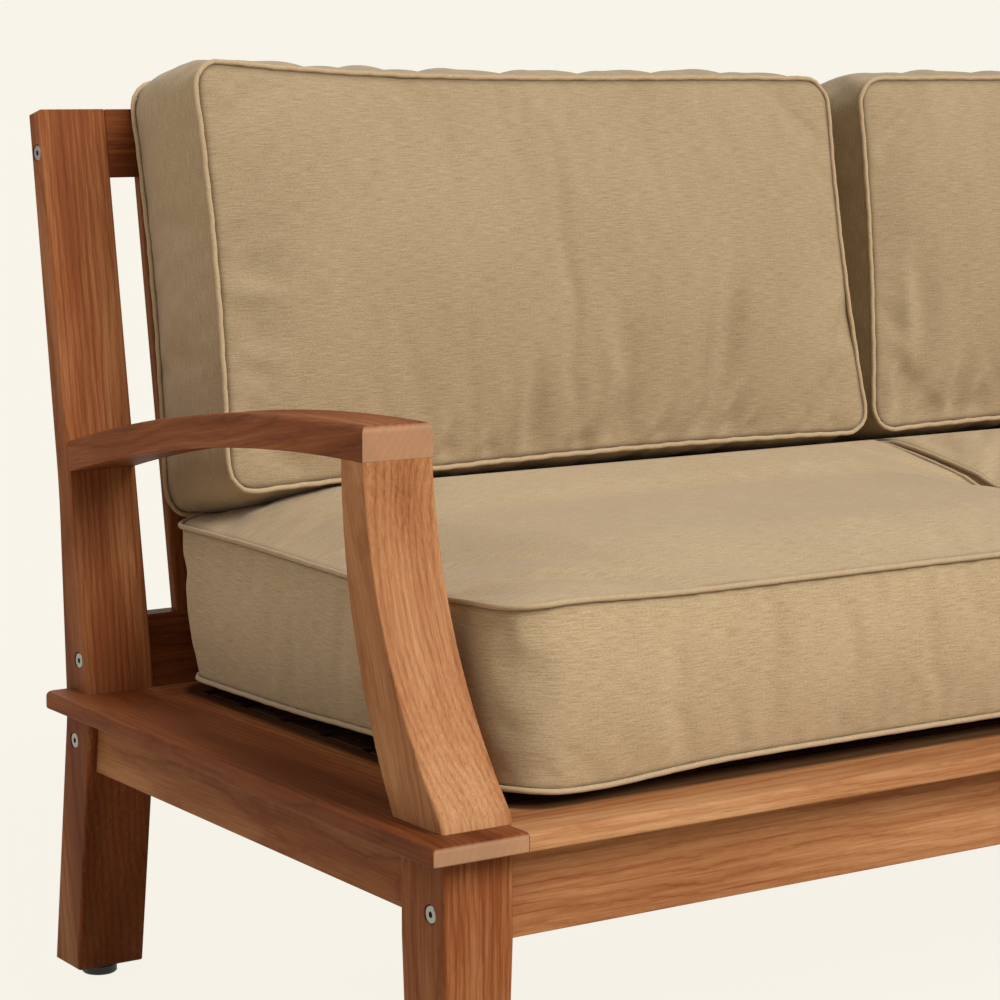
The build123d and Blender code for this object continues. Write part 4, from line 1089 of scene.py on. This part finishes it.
SEAT["canvas"], BACK["canvas"] = SEAT_CANVAS, BACK_CANVAS
print("seats in", SEAT["canvas"].name, "and backs in", BACK["canvas"].name)

# %% [markdown]
# ## The seat cushions
#
# The seat cushions are firm: tall boxing, a gentle crown, a round front corner, and at the rear a slope
# where the back cushion presses down. That slope is a plane just below the back cushion, and whatever
# stands above it is pressed onto it.

# %% Seat cushions
SEAT_CREASES = {
    "left": (
        (-0.55, -0.88, -0.35, -0.93, 0.016, 0.0012), (0.1, -0.9, 0.35, -0.94, 0.014, 0.001),
    ),
    "right": (
        (-0.9, -0.2, -0.93, 0.1, 0.016, 0.0012), (0.2, -0.9, 0.45, -0.93, 0.014, 0.001),
    ),
}
SEAT_CLEARANCE = 0.003


def plane_below_back(side):
    """The plane just under a back cushion: a point and an upward direction, as the seat lies."""
    under = back_place(side) @ Vector((0, -BACK["depth"] / 2 - SEAT_CLEARANCE, 0))
    return seat_place(side).inverted() @ under, SLOPE_UP


cushion_pair("seat", "foam", SEAT, SEAT_CREASES, seat_place, plane_below_back)

# %% [markdown]
# ## The back cushions
#
# The back cushions are softer and fuller, and lean on the top rail. The filling has sunk a little, so folds
# fan up from the bottom seam and in from the upright seams.

# %% Back cushions
BACK_CREASES = {
    "left": (
        (-0.13, -0.58, -0.15, -0.94, 0.012, 0.0044), (0.15, -0.62, 0.09, -0.94, 0.013, 0.005),
        (0.13, -0.3, 0.16, -0.62, 0.018, 0.003), (0.43, -0.7, 0.37, -0.93, 0.01, 0.0044),
        (0.5, -0.15, 0.45, -0.8, 0.014, 0.0048), (0.54, -0.74, 0.47, -0.94, 0.01, 0.0044),
        (0.6, -0.84, 0.55, -0.95, 0.008, 0.003), (0.79, -0.86, 0.75, -0.95, 0.008, 0.0026),
        (0.88, -0.86, 0.84, -0.95, 0.008, 0.0026), (0.95, -0.2, 0.9, -0.52, 0.013, 0.003),
        (0.04, -0.82, 0.0, -0.94, 0.009, 0.0032), (-0.25, -0.84, -0.28, -0.94, 0.009, 0.003),
        (-0.37, -0.8, -0.41, -0.94, 0.01, 0.0034), (-0.6, -0.84, -0.63, -0.95, 0.01, 0.0026),
        (0.29, -0.82, 0.25, -0.94, 0.009, 0.003), (-0.95, 0.02, -0.84, -0.02, 0.014, 0.0022),
        (-0.95, -0.3, -0.86, -0.34, 0.014, 0.002), (-0.45, 0.95, -0.4, 0.75, 0.014, 0.0016),
        (0.3, 0.95, 0.27, 0.8, 0.013, 0.0016),
    ),
    "right": (
        (-0.88, -0.56, -0.95, -0.93, 0.012, 0.005), (-0.84, -0.1, -0.85, -0.64, 0.013, 0.004),
        (-0.82, -0.82, -0.87, -0.94, 0.009, 0.0034), (-0.69, -0.63, -0.75, -0.93, 0.012, 0.0046),
        (-0.6, -0.74, -0.67, -0.93, 0.011, 0.0042), (-0.38, -0.66, -0.44, -0.92, 0.013, 0.004),
        (-0.06, -0.66, -0.12, -0.92, 0.013, 0.0036), (0.26, -0.7, 0.21, -0.92, 0.013, 0.0036),
        (0.58, -0.74, 0.54, -0.93, 0.012, 0.003), (-0.2, 0.95, -0.16, 0.78, 0.013, 0.0018),
        (0.95, 0.1, 0.85, 0.05, 0.014, 0.002),
    ),
}
cushion_pair("back", "filling", BACK, BACK_CREASES, back_place)

# %% [markdown]
# ## Zips
#
# Each cover opens with a zip along a hidden side. The CAD strips already lie in the right place,
# so they only get the matt finish of woven zip tape.

# %% Zip tape
for side in ("left", "right"):
    for kind in ("seat", "back"):
        dress(f"{kind}_cushion_zip_{side}", ZIP_TAPE)
print("zips dressed")

# %% [markdown]
# ## Floor, backdrop and light
#
# The picture has a plain cream ground. The floor takes its cream mostly as seen by the camera, so that the
# lamps don't have to be bright enough to bleach it, and keeps a soft shadow. A wide sun from the front
# right lights the fronts and tops. A small lamp and an even sky fill the left side, which stays darker, as
# in the photograph, and a weak wide light from the rear keeps the slatted back readable.

# %% Floor
CREAM = colour(248, 244, 233)
FLOOR_BOUNCE = colour(194, 182, 164)
FLOOR_GLOW = 0.965
FLOOR_SHADE = 0.04
FLOOR_REACH = 60.0


def seen_by(owner, second_ray):
    """1 where the camera looks on directly or by this second kind of ray, and 0 for other light."""
    rays = add_node(owner, "LightPath")
    return number_step(owner, "MAXIMUM", rays.outputs["Is Camera Ray"], rays.outputs[second_ray])


def floor_material():
    """Cream with a soft shadow where it is seen, and a duller tan where it lights the object."""
    material = new_material("cream_floor")
    shadowed = add_node(material, "BsdfDiffuse", {"Color": shade(CREAM, FLOOR_SHADE)})
    glow = add_node(material, "Emission", {"Color": CREAM, "Strength": FLOOR_GLOW})
    seen = add_node(material, "AddShader", {0: shadowed.outputs["BSDF"], 1: glow.outputs["Emission"]})
    bounce = add_node(material, "BsdfDiffuse", {"Color": FLOOR_BOUNCE})
    mixed = add_node(material, "MixShader", {
        0: seen_by(material, "Is Glossy Ray"), 1: bounce.outputs["BSDF"], 2: seen.outputs["Shader"],
    })
    add_node(material, "OutputMaterial", {"Surface": mixed.outputs["Shader"]})
    return material


floor_mesh = bpy.data.meshes.new("studio_floor")
floor_corners = [(x * FLOOR_REACH, y * FLOOR_REACH, 0) for x, y in ((-1, -1), (1, -1), (1, 1), (-1, 1))]
floor_mesh.from_pydata(floor_corners, [], [(0, 1, 2, 3)])
floor_mesh.materials.append(floor_material())
floor = put_in_scene("studio_floor", floor_mesh)
print("floor laid,", FLOOR_REACH * 2, "m wide")

# %% World
SKY_TINT = (1.0, 0.985, 0.96, 1.0)
SKY_STRENGTH = 0.34

world = bpy.data.worlds.new("studio")
world.use_nodes = True
world.node_tree.nodes.clear()
scene.world = world
sky = add_node(world, "Background", {"Color": SKY_TINT, "Strength": SKY_STRENGTH})
backdrop = add_node(world, "Background", {"Color": CREAM})
blend = add_node(world, "MixShader", {
    0: seen_by(world, "Is Transmission Ray"),
    1: sky.outputs["Background"], 2: backdrop.outputs["Background"],
})
add_node(world, "OutputWorld", {"Surface": blend.outputs["Shader"]})
print("sky strength", SKY_STRENGTH)

# %% Lamps
LAMP_TINT = (1.0, 0.98, 0.95)
SUN_STRENGTH = 2.75
SUN_ANGLE = 32
SUN_FROM = Vector((0.28, -0.71, 0.6))
FILL_POWER = 3.4
FILL_SIDE = 0.7
FILL_PLACE = Vector((-1.7, 0.35, 1.25))
FILL_AIM = Vector((-0.8, 0.2, 0.6))
REAR_STRENGTH = 0.6
REAR_ANGLE = 60
REAR_FROM = Vector((0.35, 0.8, 0.45))


def lamp(name, kind, energy, came_from):
    """A warm white lamp that shines from the way that came_from points."""
    data = bpy.data.lights.new(name, kind)
    data.energy = energy
    data.color = LAMP_TINT
    light = put_in_scene(name, data)
    light.rotation_mode = "QUATERNION"
    light.rotation_quaternion = came_from.to_track_quat("Z", "Y")
    return light


sun = lamp("window_sun", "SUN", SUN_STRENGTH, SUN_FROM)
sun.data.angle = math.radians(SUN_ANGLE)
rear_light = lamp("rear_light", "SUN", REAR_STRENGTH, REAR_FROM)
rear_light.data.angle = math.radians(REAR_ANGLE)
fill = lamp("left_fill", "AREA", FILL_POWER, FILL_PLACE - FILL_AIM)
fill.location = FILL_PLACE
fill.data.size = FILL_SIDE
fill.visible_camera = False
scene.view_settings.view_transform = "Standard"
print("lit from", tuple(round(value, 2) for value in SUN_FROM))
